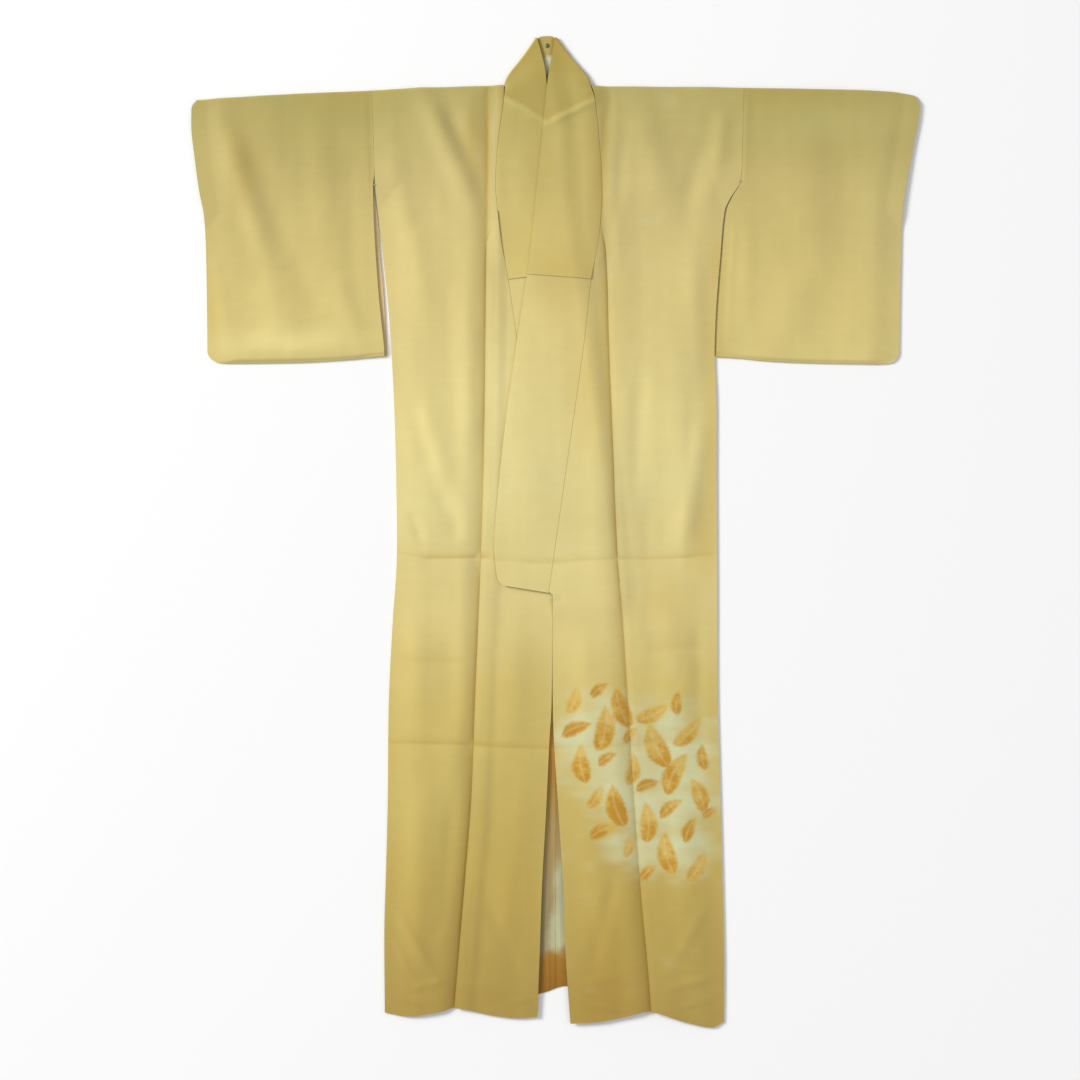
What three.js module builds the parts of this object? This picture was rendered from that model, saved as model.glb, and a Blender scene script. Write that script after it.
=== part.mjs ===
// Lined silk kimono laid flat on its back, front up. Millimetres, +Z up.
// X runs across the shoulders, -X is the wearer's right. Y runs from the hem to the collar.
// The back lies on Z = 0, and the two fronts lie on it with the wearer's left front on top.

import * as THREE from 'three';

// Driving dimensions
const CLOTH = 1.2;            // wall of one sewn panel, outer silk and lining together
const LINING = 1.0;           // wall of a lining where it shows by itself
const SEAM_GAP = 0.3;         // clear distance between two pieces at a seam
const COLLAR_GAP = 0.8;       // the same along the curved collar seam
const PITCH = CLOTH + 0.6;    // from one layer to the next where two pieces lie on each other
const TUCK = 14;              // width of a panel's edge that lies under its neighbour
const REST_GAP = 0.4;         // least clear distance between a front and the back under it
const FULLNESS = 1.1;         // usual clear distance there
const LINED_GAP = LINING + 0.8; // the same where a lining lies between them
const SIDE_ROLL = 26;         // width over which a front comes down to its side seam
const SLEEVE_CORNER = 21;     // rounded lower corner of a sleeve
const WRIST_OPENING = 230;    // open part of a sleeve's outer edge, from the top
const COLLAR_END_Y = -100;    // lower end of the collar
const KENSAKI_Y = 572;        // upper tip of the front overlap panels
const HEM_LEVEL = -860;       // usual height of the hems
const SHOULDER_LEVEL = 790;   // and of the shoulder fold
const LINING_TOP = -340;      // upper end and half width of the skirt lining that shows
const LINING_REACH = 52;
const PRESSED_Y = -54;        // pressed storage creases across the fronts
const LOWER_PRESSED_Y = -385;
const NECK_BACK_Y = 767;      // lowest point of the back's neckline
const NECK_RIGHT_X = -95;     // ends of the neckline on the shoulder
const NECK_LEFT_X = 67;
const SNAP_RADIUS = 4;
const SNAP_HEIGHT = 1.6;

const table = (columns, rows) =>
  rows.map((row) => Object.fromEntries(columns.map((name, i) => [name, row[i]])));

// Edges of the pieces: X at each height Y
const BODY_SIDE_RIGHT = table(['y', 'x'], [
  [790, -327], [698, -324], [612, -321], [520, -311], [431, -301], [360, -295], [235, -288],
  [93, -284], [-50, -283], [-157, -290], [-299, -297], [-477, -299], [-602, -302], [-708, -305],
  [-870, -304],
]);
const BODY_SIDE_LEFT = table(['y', 'x'], [
  [790, 335], [689, 332], [622, 328], [596, 312], [572, 301], [488, 293], [401, 286], [315, 283],
  [235, 286],
  [93, 286], [-50, 287], [-299, 288], [-406, 291], [-584, 296], [-762, 300], [-880, 299],
]);
const CREASE_RIGHT = table(['y', 'x'], [
  [790, -121], [520, -123], [164, -127], [-50, -133], [-299, -143], [-477, -150], [-619, -161],
  [-726, -170], [-860, -180],
]);
const CREASE_LEFT = table(['y', 'x'], [
  [790, 88], [680, 84], [591, 84], [457, 92], [342, 95], [164, 102], [-50, 111], [-157, 120],
  [-299, 129], [-477, 140], [-655, 153], [-762, 163], [-865, 171],
]);
const COLLAR_SEAM_RIGHT = table(['y', 'x'], [
  [793, -90], [771, -92], [689, -103], [618, -107], [591, -105], [520, -97], [460, -86],
  [360, -71], [164, -42], [-110, -6],
]);
const COLLAR_SEAM_LEFT = table(['y', 'x'], [
  [793, 62], [774, 69], [680, 79], [600, 83], [520, 76], [449, 63], [342, 51], [164, 26],
  [-110, -13],
]);
const FRONT_EDGE_RIGHT = table(['y', 'x'], [
  [-110, -6.5], [-210, -7], [-310, -8], [-370, -11], [-497, -17], [-625, -24], [-739, -28],
  [-870, -33],
]);
const FRONT_EDGE_LEFT = table(['y', 'x'], [
  [-110, -5.5], [-210, -5.5], [-299, -5], [-370, -3], [-497, 5], [-625, 13], [-739, 17],
  [-880, 28],
]);
const SLEEVE_OUTER_RIGHT = table(['y', 'x'], [
  [790, -646], [761, -648], [720, -648], [653, -641], [604, -634], [562, -626], [470, -622],
  [300, -620],
]);
const SLEEVE_OUTER_LEFT = table(['y', 'x'], [
  [790, 646], [773, 648], [738, 645], [664, 632], [576, 618], [470, 614], [300, 611],
]);
const SLEEVE_INNER_RIGHT = table(['y', 'x'], [
  [790, -327.6], [698, -325], [612, -325], [541, -323], [435, -316], [313, -305],
]);
const SLEEVE_BACK_INNER_RIGHT = table(['y', 'x'], [
  [790, -327.6], [698, -325], [612, -323], [560, -316.5], [506, -313.5], [425, -306], [354, -302],
  [313, -300],
]);
const SLEEVE_INNER_LEFT = table(['y', 'x'], [
  [790, 335.6], [689, 332.6], [622, 328.6], [596, 314], [572, 304], [488, 296], [401, 290],
  [316, 286],
]);

// Upper and lower ends of the pieces: Y at each place X
const SHOULDER = table(['x', 'y'], [
  [-648, 766], [-475, 777], [-334, 783], [-229, 788], [-90, 792], [62, 791], [203, 790],
  [326, 788], [502, 785], [608, 780], [648, 773],
]);
const SLEEVE_BOTTOM = table(['x', 'y'], [
  [-620, 302], [-455, 304], [-366, 309], [-300, 315], [286, 314], [368, 307], [449, 303],
  [620, 300],
]);
const HEM_RIGHT = table(['x', 'y'], [
  [-304, -856], [-259, -862], [-201, -853], [-179, -847], [-115, -860], [-72, -865], [-33, -863],
]);
const HEM_LEFT = table(['x', 'y'], [
  [28, -875], [76, -872], [119, -864], [171, -854], [219, -869], [279, -882], [300, -872],
]);
const HEM_BACK = table(['x', 'y'], [
  [-304, -848], [-160, -838], [-30, -823], [21, -809], [160, -836], [300, -864],
]);

// The collar's two long edges, station by station: seam edge and free edge.
// On the fronts the seam edge lies on the collar seam at its height.
const COLLAR_UNDER = table(['seamY', 'freeX', 'freeY'], [
  [-108, 100, -97], [164, 66, 176], [360, 37, 375], [460, 23, 474], [520, 12, 533], [591, 5, 600],
  [689, -1, 700], [771, -15, 790], [786, -20, 830], [793, -36, 879],
]);
const COLLAR_BACK = table(['seamX', 'freeX', 'freeY'], [
  [-90, -36, 879], [-55, -27, 880], [-14, -16, 881], [30, -7, 881], [62, 2, 881],
]);
const COLLAR_TOP = table(['seamY', 'freeX', 'freeY'], [
  [793, 2, 881], [788, -8, 842], [774, -15, 797], [680, -27, 675], [600, -35, 600],
  [520, -43, 520], [449, -51, 462], [342, -69, 338], [164, -91, 180], [-108, -117, -91],
]);

// Soft folds and pressed creases of the front: a line from one point to another,
// its width and its rise (a trough where negative)
const FOLDS = table(['x0', 'y0', 'x1', 'y1', 'width', 'rise'], [
  [-232, 776, -160, 600, 34, 2.2],
  [-205, 749, -143, 650, 18, -0.7],
  [-270, 265, -216, 87, 34, -0.7],
  [-216, 87, -170, -20, 34, -0.7],
  [-240, 240, -175, 90, 42, 2.0],
  [-262, 39, -238, -20, 20, -0.6],
  [-285, -50, -110, -62, 12, -0.6],
  [-110, -58, 110, -62, 12, -0.5],
  [110, -60, 285, -45, 12, -0.6],
  [-286, -379, -20, -390, 12, -0.4],
  [-230, -150, -215, -330, 60, 1.8],
  [-215, -420, -240, -760, 60, 2.1],
  [-60, -420, -95, -780, 46, 1.4],
  [60, -420, 95, -760, 46, 1.4],
  [205, -120, 215, -360, 56, 2.0],
  [215, -420, 240, -780, 60, 2.1],
  [215, 440, 190, 60, 60, 2.1],
  [255, 235, 262, -50, 30, -0.7],
  [160, 760, 200, 560, 50, 1.8],
  [265, 700, 235, 560, 40, -0.6],
  [-599, 735, -517, 470, 40, 2.5],
  [-517, 470, -467, 329, 40, 2.5],
  [-581, 690, -489, 506, 26, -0.6],
  [-489, 506, -434, 383, 26, -0.6],
  [-420, 740, -390, 520, 50, 1.5],
  [420, 740, 455, 480, 60, 2.2],
  [455, 480, 430, 340, 50, 1.8],
  [560, 720, 540, 420, 50, 1.8],
  [500, 700, 505, 420, 30, -0.6],
]);

// Curve through a table's rows, with slopes taken from the rows on both sides
function curve(rows, from, to) {
  const points = rows.map((row) => [row[from], row[to]]).sort((a, b) => a[0] - b[0]);
  const last = points.length - 1;
  const slope = (i) => {
    const [a, b] = [points[Math.max(i - 1, 0)], points[Math.min(i + 1, last)]];
    return (b[1] - a[1]) / (b[0] - a[0]);
  };
  return (at) => {
    const here = clamp(at, points[0][0], points[last][0]);
    const i = Math.min(points.findLastIndex((point) => point[0] <= here), last - 1);
    const span = points[i + 1][0] - points[i][0];
    const t = (here - points[i][0]) / span;
    return (
      points[i][1] * (1 + 2 * t) * (1 - t) ** 2 + points[i + 1][1] * t * t * (3 - 2 * t) +
      slope(i) * span * t * (1 - t) ** 2 - slope(i + 1) * span * t * t * (1 - t)
    );
  };
}

const { clamp, lerp, smoothstep } = THREE.MathUtils;
const byHeight = (rows) => curve(rows, 'y', 'x');
const byPlace = (rows) => curve(rows, 'x', 'y');

const sideRight = byHeight(BODY_SIDE_RIGHT);
const sideLeft = byHeight(BODY_SIDE_LEFT);
const creaseRight = byHeight(CREASE_RIGHT);
const creaseLeft = byHeight(CREASE_LEFT);
const seamRight = byHeight(COLLAR_SEAM_RIGHT);
const seamLeft = byHeight(COLLAR_SEAM_LEFT);
const edgeRight = byHeight(FRONT_EDGE_RIGHT);
const edgeLeft = byHeight(FRONT_EDGE_LEFT);
const shoulder = byPlace(SHOULDER);
const underCollarEdge = curve(COLLAR_UNDER, 'freeY', 'freeX');

const FOLD_END = 0.35;        // part of a fold's rise that is left at its ends

// Height of the soft folds over the usual fullness
function folds(x, y) {
  return FOLDS.reduce((sum, { x0, y0, x1, y1, width, rise }) => {
    const [dx, dy] = [x1 - x0, y1 - y0];
    const t = clamp(((x - x0) * dx + (y - y0) * dy) / (dx * dx + dy * dy), 0, 1);
    const across = Math.hypot(x - x0 - t * dx, y - y0 - t * dy) / width;
    const ends = smoothstep(t, 0, 0.25) * (1 - smoothstep(t, 0.75, 1));
    return sum + rise * lerp(FOLD_END, 1, ends) * Math.exp(-2 * across * across);
  }, 0);
}

// Clear distance between the back and the front that lies over it
function restGap(x, y) {
  const lined = (1 - smoothstep(y, LINING_TOP + 10, LINING_TOP + 60)) *
    (1 - smoothstep(Math.abs(x), LINING_REACH + 8, LINING_REACH + 43));
  const neck = smoothstep(y, 700, 760) * (1 - smoothstep(Math.abs(x + 14), 90, 150));
  const least = Math.max(REST_GAP, lined * LINED_GAP, neck * (CLOTH + LINED_GAP));
  return Math.max(least, FULLNESS + folds(x, y));
}

// Middle of a front's wall, as many layers up as lie under it
const frontHeight = (x, y, layers) => 1.5 * CLOTH + restGap(x, y) + PITCH * layers;
const BACK_HEIGHT = CLOTH / 2;

// Layers under the left front: the right front's collar and over-collar
function layersUnderLeft(x, y) {
  const beside = 1 - smoothstep(x, underCollarEdge(y) + 6, underCollarEdge(y) + 46);
  return 2 * beside * smoothstep(y, COLLAR_END_Y - 80, COLLAR_END_Y - 15);
}

// Comes down to zero layers and the least gap at the side seam
function sideRoll(distance) {
  return smoothstep(distance, 0, SIDE_ROLL);
}

const UP = new THREE.Vector3(0, 0, 1);
const DOWN = new THREE.Vector3(0, 0, -1);

// Closed wall round a grid of middle points, each with its own outward direction.
// A ring grid closes on itself from its last row to its first.
function wall(grid, thickness, ring = false) {
  const [rows, columns] = [grid.length, grid[0].length];
  const corners = [];
  for (const side of [0.5, -0.5]) {
    for (const row of grid) {
      for (const { at, out } of row) {
        corners.push(at.x + out.x * thickness * side, at.y + out.y * thickness * side,
          at.z + out.z * thickness * side);
      }
    }
  }
  const outer = (i, j) => (i % rows) * columns + j;
  const inner = (i, j) => rows * columns + outer(i, j);
  const faces = [];
  const quad = (a, b, c, d) => faces.push(a, b, c, a, c, d);
  const spans = ring ? rows : rows - 1;
  for (let i = 0; i < spans; i++) {
    for (let j = 0; j < columns - 1; j++) {
      quad(outer(i, j), outer(i, j + 1), outer(i + 1, j + 1), outer(i + 1, j));
      quad(inner(i, j), inner(i + 1, j), inner(i + 1, j + 1), inner(i, j + 1));
    }
    quad(outer(i, 0), outer(i + 1, 0), inner(i + 1, 0), inner(i, 0));
    quad(outer(i, columns - 1), inner(i, columns - 1), inner(i + 1, columns - 1),
      outer(i + 1, columns - 1));
  }
  if (!ring) {
    for (let j = 0; j < columns - 1; j++) {
      quad(outer(0, j), inner(0, j), inner(0, j + 1), outer(0, j + 1));
      quad(outer(rows - 1, j), outer(rows - 1, j + 1), inner(rows - 1, j + 1), inner(rows - 1, j));
    }
  }
  const geometry = new THREE.BufferGeometry();
  geometry.setAttribute('position', new THREE.Float32BufferAttribute(corners, 3));
  geometry.setIndex(faces);
  geometry.computeVertexNormals();
  return geometry;
}

const steps = (count, from = 0, to = 1) =>
  Array.from({ length: count + 1 }, (_, i) => lerp(from, to, i / count));

// Places across a row: fixed distances from both edges, and even steps between them
function across(from, to, near, count, far = [0]) {
  const width = Math.abs(to - from);
  const fit = Math.min(1, (0.8 * width) / (near.at(-1) + far.at(-1) + 1));
  const [first, last] = [near.at(-1) * fit, width - far.at(-1) * fit];
  const distances = [
    ...near.map((d) => d * fit), ...steps(count, first, last).slice(1, -1),
    ...far.toReversed().map((d) => width - d * fit),
  ];
  return distances.map((d) => from + Math.sign(to - from) * d);
}

const END_BLEND = 130;        // length over which the rows bend to follow an uneven end

// Level of a row at one place, bent near the ends to follow the piece's own ends
function bent(level, x, { bottom, top, low, high }) {
  const down = 1 - smoothstep(level, low, low + END_BLEND);
  const up = smoothstep(level, high - END_BLEND, high);
  return level + (bottom(x) - low) * down + (top(x) - high) * up;
}

// One row of a sheet: its points across, each raised by the height function
const sheetRow = (piece, level, height, out) =>
  piece.places(level).map((x) => {
    const y = bent(level, x, piece);
    return { at: new THREE.Vector3(x, y, height(x, y)), out };
  });

// Half turn from an upper row to a lower row, round an edge that faces +Y or -Y
function turn(upper, lower, facing, count = 4) {
  return steps(count).slice(1, -1).map((t) => upper.map(({ at: from }, j) => {
    const to = lower[j].at;
    const radius = (from.z - to.z) / 2;
    const angle = Math.PI * t;
    const out = new THREE.Vector3(0, facing * Math.sin(angle), Math.cos(angle));
    const at = new THREE.Vector3(lerp(from.x, to.x, t), lerp(from.y, to.y, t), to.z + radius)
      .addScaledVector(out, radius);
    return { at, out };
  }));
}

// Heights of the rows, the same in neighbouring pieces, closer together at the pressed creases
const SLEEVE_SIDE_LEVELS = steps(4, 345, 540);
const ARMHOLE_LEVELS = [KENSAKI_Y, 584, 596, 608, 622, 660, 700, 740, 770];
const FRONT_LEVELS = [
  ...steps(9, HEM_LEVEL, LOWER_PRESSED_Y - 30), ...steps(2, LOWER_PRESSED_Y - 10, LOWER_PRESSED_Y + 10),
  ...steps(5, LOWER_PRESSED_Y + 40, PRESSED_Y - 45), ...steps(5, PRESSED_Y - 22, PRESSED_Y + 26),
  ...steps(5, PRESSED_Y + 60, 295), ...SLEEVE_SIDE_LEVELS, ...ARMHOLE_LEVELS, SHOULDER_LEVEL,
];
const BACK_LEVELS = [
  ...steps(5, HEM_LEVEL, 250), ...SLEEVE_SIDE_LEVELS, ...ARMHOLE_LEVELS.slice(0, -1),
  766, 769, 774, 780, 786, SHOULDER_LEVEL,
].toReversed();
const SIDE_COLUMNS = [0, 7, 16, SIDE_ROLL];

// Body length: front, over the shoulder, back
function bodyPanel({ side, inner, hem, centre, frontLayers, innerColumns }) {
  const front = {
    places: (y) => across(side(y), inner(y), SIDE_COLUMNS, 6, innerColumns),
    bottom: byPlace(hem), top: shoulder, low: HEM_LEVEL, high: SHOULDER_LEVEL,
  };
  const columns = front.places(0).length;
  const back = {
    ...front,
    places: (y) => steps(columns - 1).map((t) => lerp(side(y), centre(y), t)),
    bottom: byPlace(HEM_BACK),
  };
  const frontZ = (x, y) => {
    const roll = Math.max(sideRoll(Math.abs(x - side(y))), smoothstep(y, 560, 640));
    return lerp(1.5 * CLOTH + REST_GAP, frontHeight(x, y, frontLayers(x, y)), roll);
  };
  const frontRows = FRONT_LEVELS.map((level) => sheetRow(front, level, frontZ, UP));
  const backRows = BACK_LEVELS.map((level) => sheetRow(back, level, () => BACK_HEIGHT, DOWN));
  const grid = [...frontRows, ...turn(frontRows.at(-1), backRows[0], 1), ...backRows];
  return wall(side(0) < centre(0) ? grid : grid.map((row) => row.toReversed()), CLOTH);
}

// The back's inner edge runs up the centre seam and out along the neckline
function centreEdge(sign, neckX) {
  const seam = sign * SEAM_GAP / 2;
  const rise = (y) => clamp((y - NECK_BACK_Y) / (SHOULDER_LEVEL - NECK_BACK_Y), 0, 1);
  return (y) => lerp(seam, neckX, Math.sqrt(rise(y)));
}

// Height of that neckline at one place
const neckline = (x) =>
  lerp(NECK_BACK_Y, SHOULDER_LEVEL, (x / (x < 0 ? NECK_RIGHT_X : NECK_LEFT_X)) ** 2);

// The body's front runs to the collar seam above the overlap panel's tip,
// and below it to a tuck under the overlap panel, or to the fold over it
function frontInner(seam, crease, tuck, sign) {
  const gap = (y) => COLLAR_GAP + 4 * smoothstep(y, 760, 792);
  return (y) => lerp(crease(y) + tuck, seam(y) - sign * gap(y),
    smoothstep(y, KENSAKI_Y + 4, KENSAKI_Y + 36));
}

function bodyRight() {
  return bodyPanel({
    side: sideRight,
    inner: frontInner(seamRight, creaseRight, TUCK, 1),
    hem: HEM_RIGHT,
    centre: centreEdge(-1, NECK_RIGHT_X),
    frontLayers: () => 0,
    innerColumns: [0],
  });
}

function bodyLeft() {
  const fold = (x, y) => 1 - smoothstep(x, creaseLeft(y) + TUCK + 6, creaseLeft(y) + TUCK + 50);
  return bodyPanel({
    side: sideLeft,
    inner: frontInner(seamLeft, creaseLeft, 0, -1),
    hem: HEM_LEFT,
    centre: centreEdge(1, NECK_LEFT_X),
    frontLayers: (x, y) => {
      const lap = 1 - smoothstep(y, KENSAKI_Y + 5, KENSAKI_Y + 60);
      return layersUnderLeft(x, y) + lap * fold(x, y);
    },
    innerColumns: [0, TUCK + 6, TUCK + 28, TUCK + 50],
  });
}

const OKUMI_LEVELS = [...FRONT_LEVELS.filter((level) => level < KENSAKI_Y - 5), KENSAKI_Y];

// Front overlap panel, from its hem to its upper tip
function okumiPanel({ outer, inner, hem, layers }) {
  const piece = {
    places: (y) => across(outer(y), inner(y), [0, TUCK + 6, TUCK + 26], 4),
    bottom: byPlace(hem), top: () => KENSAKI_Y, low: HEM_LEVEL, high: KENSAKI_Y,
  };
  const height = (x, y) => frontHeight(x, y, layers(x, y));
  const grid = OKUMI_LEVELS.map((level) => sheetRow(piece, level, height, UP));
  return wall(outer(0) < inner(0) ? grid : grid.map((row) => row.toReversed()), CLOTH);
}

// Front edge below the collar, collar seam above it
const okumiInner = (seam, edge, gap) => (y) =>
  (y > COLLAR_END_Y - 10 ? seam(y) + gap : edge(y));

function okumiRight() {
  return okumiPanel({
    outer: creaseRight,
    inner: okumiInner(seamRight, edgeRight, -COLLAR_GAP),
    hem: HEM_RIGHT,
    layers: (x, y) => 1 - smoothstep(x, creaseRight(y) + TUCK + 6, creaseRight(y) + TUCK + 26),
  });
}

function okumiLeft() {
  return okumiPanel({
    outer: (y) => creaseLeft(y) + TUCK,
    inner: okumiInner(seamLeft, edgeLeft, COLLAR_GAP),
    hem: HEM_LEFT,
    layers: layersUnderLeft,
  });
}

const SLEEVE_FOOT = 302;
const SLEEVE_TOP = 785;
const SLEEVE_LEVELS = [
  ...[0, 3, 8, 15, SLEEVE_CORNER].map((rise) => SLEEVE_FOOT + rise),
  ...SLEEVE_SIDE_LEVELS, ...ARMHOLE_LEVELS, SLEEVE_TOP,
];

// Sleeve: a flat tube, folded at the top and sewn at the bottom, open at both sides
function sleeve({ outer, inner, innerBack }) {
  const bottom = byPlace(SLEEVE_BOTTOM);
  const rounded = (y) => {
    const rise = clamp(y - SLEEVE_FOOT, 0, SLEEVE_CORNER);
    const cut = SLEEVE_CORNER - Math.sqrt(SLEEVE_CORNER ** 2 - (SLEEVE_CORNER - rise) ** 2);
    return outer(y) - Math.sign(outer(y)) * cut;
  };
  const sheet = (edge) => ({
    places: (y) => across(edge(y), rounded(y), [0, 20, 45], 6, [0, 8, 20]),
    bottom, top: shoulder, low: SLEEVE_FOOT, high: SLEEVE_TOP,
  });
  const lying = 1.5 * CLOTH + REST_GAP;
  const frontZ = (x, y) => {
    const open = y > SLEEVE_TOP - WRIST_OPENING ? 0.6 : 0;
    const roll = Math.max(sideRoll(Math.min(Math.abs(x - outer(y)), Math.abs(y - bottom(x)) + 4)), open);
    const lined = y < 612 ? 1 - smoothstep(Math.abs(x - inner(y)), 20, 60) : 0;
    return Math.max(lerp(lying, frontHeight(x, y, 0), roll), lerp(lying, lying + LINED_GAP, lined));
  };
  const frontRows = SLEEVE_LEVELS.map((level) => sheetRow(sheet(inner), level, frontZ, UP));
  const backRows = SLEEVE_LEVELS.toReversed().map((level) =>
    sheetRow(sheet(innerBack), level, () => BACK_HEIGHT, DOWN));
  const closing = turn(frontRows[0], backRows.at(-1), -1).toReversed();
  const grid = [...frontRows, ...turn(frontRows.at(-1), backRows[0], 1), ...backRows, ...closing];
  return wall(inner(400) < outer(400) ? grid : grid.map((row) => row.toReversed()), CLOTH, true);
}

function sleeveRight() {
  return sleeve({
    outer: byHeight(SLEEVE_OUTER_RIGHT),
    inner: byHeight(SLEEVE_INNER_RIGHT),
    innerBack: byHeight(SLEEVE_BACK_INNER_RIGHT),
  });
}

function sleeveLeft() {
  const inner = byHeight(SLEEVE_INNER_LEFT);
  return sleeve({ outer: byHeight(SLEEVE_OUTER_LEFT), inner, innerBack: inner });
}

const COLUMNS_COLLAR = 4;

// Rows of the collar along one stretch, from its seam edge to its free edge
function collarStretch(rows, seamPoint, count, height, out) {
  const line = (point) => new THREE.CatmullRomCurve3(rows.map(point), false, 'centripetal');
  const seam = line(seamPoint);
  const free = line(({ freeX, freeY }) => new THREE.Vector3(freeX, freeY, 0));
  return steps(count).map((t) => {
    const [from, to] = [seam.getPoint(t), free.getPoint(t)];
    from.copy(seamPoint({ seamX: from.x, seamY: from.y }));
    return steps(COLUMNS_COLLAR).map((u) => {
      const at = from.clone().lerp(to, u);
      at.z = height(at.x, at.y);
      return { at, out };
    });
  });
}

// Half turn of the collar at a shoulder point, round the line from its seam to its free edge
function collarTurn(upper, lower, side, count = 4) {
  const along = upper.at(-1).at.clone().sub(upper[0].at).setZ(0).normalize();
  const outward = new THREE.Vector3(along.y, -along.x, 0).multiplyScalar(side);
  return steps(count).slice(1, -1).map((t) => upper.map(({ at: from }, j) => {
    const radius = (from.z - lower[j].at.z) / 2;
    const angle = Math.PI * t;
    const out = outward.clone().multiplyScalar(Math.sin(angle)).addScaledVector(UP, Math.cos(angle));
    const at = from.clone().setZ(from.z - radius).addScaledVector(out, radius);
    return { at, out };
  }));
}

// Whole band of the main collar: under front, back of the neck, top front
function collarBand() {
  const onSeam = (seam) => ({ seamY }) => new THREE.Vector3(seam(seamY), seamY, 0);
  const onNeckline = ({ seamX }) => new THREE.Vector3(seamX, neckline(seamX) + NECK_GAP, 0);
  const under = collarStretch(COLLAR_UNDER, onSeam(seamRight), 30, (x, y) => frontHeight(x, y, 0), UP);
  const back = collarStretch(COLLAR_BACK, onNeckline, 8, () => BACK_HEIGHT + PITCH, DOWN);
  const top = collarStretch(COLLAR_TOP, onSeam(seamLeft), 30, (x, y) => frontHeight(x, y, 2), UP);
  return [
    ...under, ...collarTurn(under.at(-1), back[0], -1), ...back,
    ...collarTurn(top[0], back.at(-1), 1).toReversed(), ...top,
  ];
}

const NECK_GAP = 3.5;           // the back of the collar lies this far above the neckline
const OVER_COLLAR_END_Y = 455;
const band = collarBand();

function collar() {
  return wall(band, CLOTH);
}

// The over-collar lies on the outer face of the main collar
function overCollar() {
  const middle = (row) => row[Math.floor(COLUMNS_COLLAR / 2)].at.y;
  const rows = band.filter((row) => middle(row) > OVER_COLLAR_END_Y);
  return wall(rows.map((row) => row.map(({ at, out }) =>
    ({ at: at.clone().addScaledVector(out, PITCH), out }))), CLOTH);
}

// Skirt lining of one back half, where the slit between the fronts shows it
function backLining(sign) {
  const hem = byPlace(HEM_BACK);
  const piece = {
    places: () => steps(3, sign * SEAM_GAP / 2, sign * LINING_REACH),
    bottom: (x) => hem(x) + 2, top: () => LINING_TOP, low: HEM_LEVEL, high: LINING_TOP,
  };
  const lying = CLOTH + SEAM_GAP + LINING / 2;
  const grid = steps(14, HEM_LEVEL, LINING_TOP).map((level) =>
    sheetRow(piece, level, () => lying, UP));
  return wall(sign > 0 ? grid : grid.map((row) => row.toReversed()), LINING);
}

// Lining strip along the inner opening of the right sleeve
function sleeveLining() {
  const edge = byHeight(SLEEVE_BACK_INNER_RIGHT);
  const piece = {
    places: (y) => steps(3, edge(y) - 20, edge(y) - 0.5),
    bottom: () => 322, top: () => 598, low: 322, high: 598,
  };
  const lying = CLOTH + SEAM_GAP + LINING / 2;
  return wall(steps(12, 322, 598).map((level) => sheetRow(piece, level, () => lying, UP)), LINING);
}

// Snap half on the inner face of the collar at the back of the neck
function collarSnap() {
  const profile = [[0, 0], [1, 0], [1, 0.35], [0.8, 0.55], [0.42, 0.6], [0.36, 0.95], [0, 1]];
  const geometry = new THREE.LatheGeometry(
    profile.map(([r, h]) => new THREE.Vector2(r * SNAP_RADIUS, h * SNAP_HEIGHT)), 20);
  geometry.rotateX(Math.PI / 2);
  geometry.translate(-15, 866, BACK_HEIGHT + PITCH + CLOTH / 2 + SEAM_GAP);
  return geometry;
}

const silk = (color) => new THREE.MeshStandardMaterial({ color, roughness: 0.55, side: THREE.DoubleSide });

const PIECES = [
  ['body_right', bodyRight, '#d3c281'],
  ['body_left', bodyLeft, '#d3c281'],
  ['okumi_right', okumiRight, '#d6c585'],
  ['okumi_left', okumiLeft, '#d6c585'],
  ['sleeve_right', sleeveRight, '#cfbe7c'],
  ['sleeve_left', sleeveLeft, '#cfbe7c'],
  ['collar', collar, '#cdbb7a'],
  ['over_collar', overCollar, '#c9b775'],
  ['back_lining_right', () => backLining(-1), '#9c7a45'],
  ['back_lining_left', () => backLining(1), '#b3b18a'],
  ['sleeve_lining_right', sleeveLining, '#d9a07c'],
];

const kimono = new THREE.Group();
kimono.name = 'kimono';
for (const [name, shape, color] of PIECES) {
  const mesh = new THREE.Mesh(shape(), silk(color));
  mesh.name = name;
  kimono.add(mesh);
}
const snap = new THREE.Mesh(collarSnap(),
  new THREE.MeshStandardMaterial({ color: '#7d8472', roughness: 0.35, metalness: 0.9 }));
snap.name = 'collar_snap';
kimono.add(snap);

export default kimono;
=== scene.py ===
import math

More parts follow.
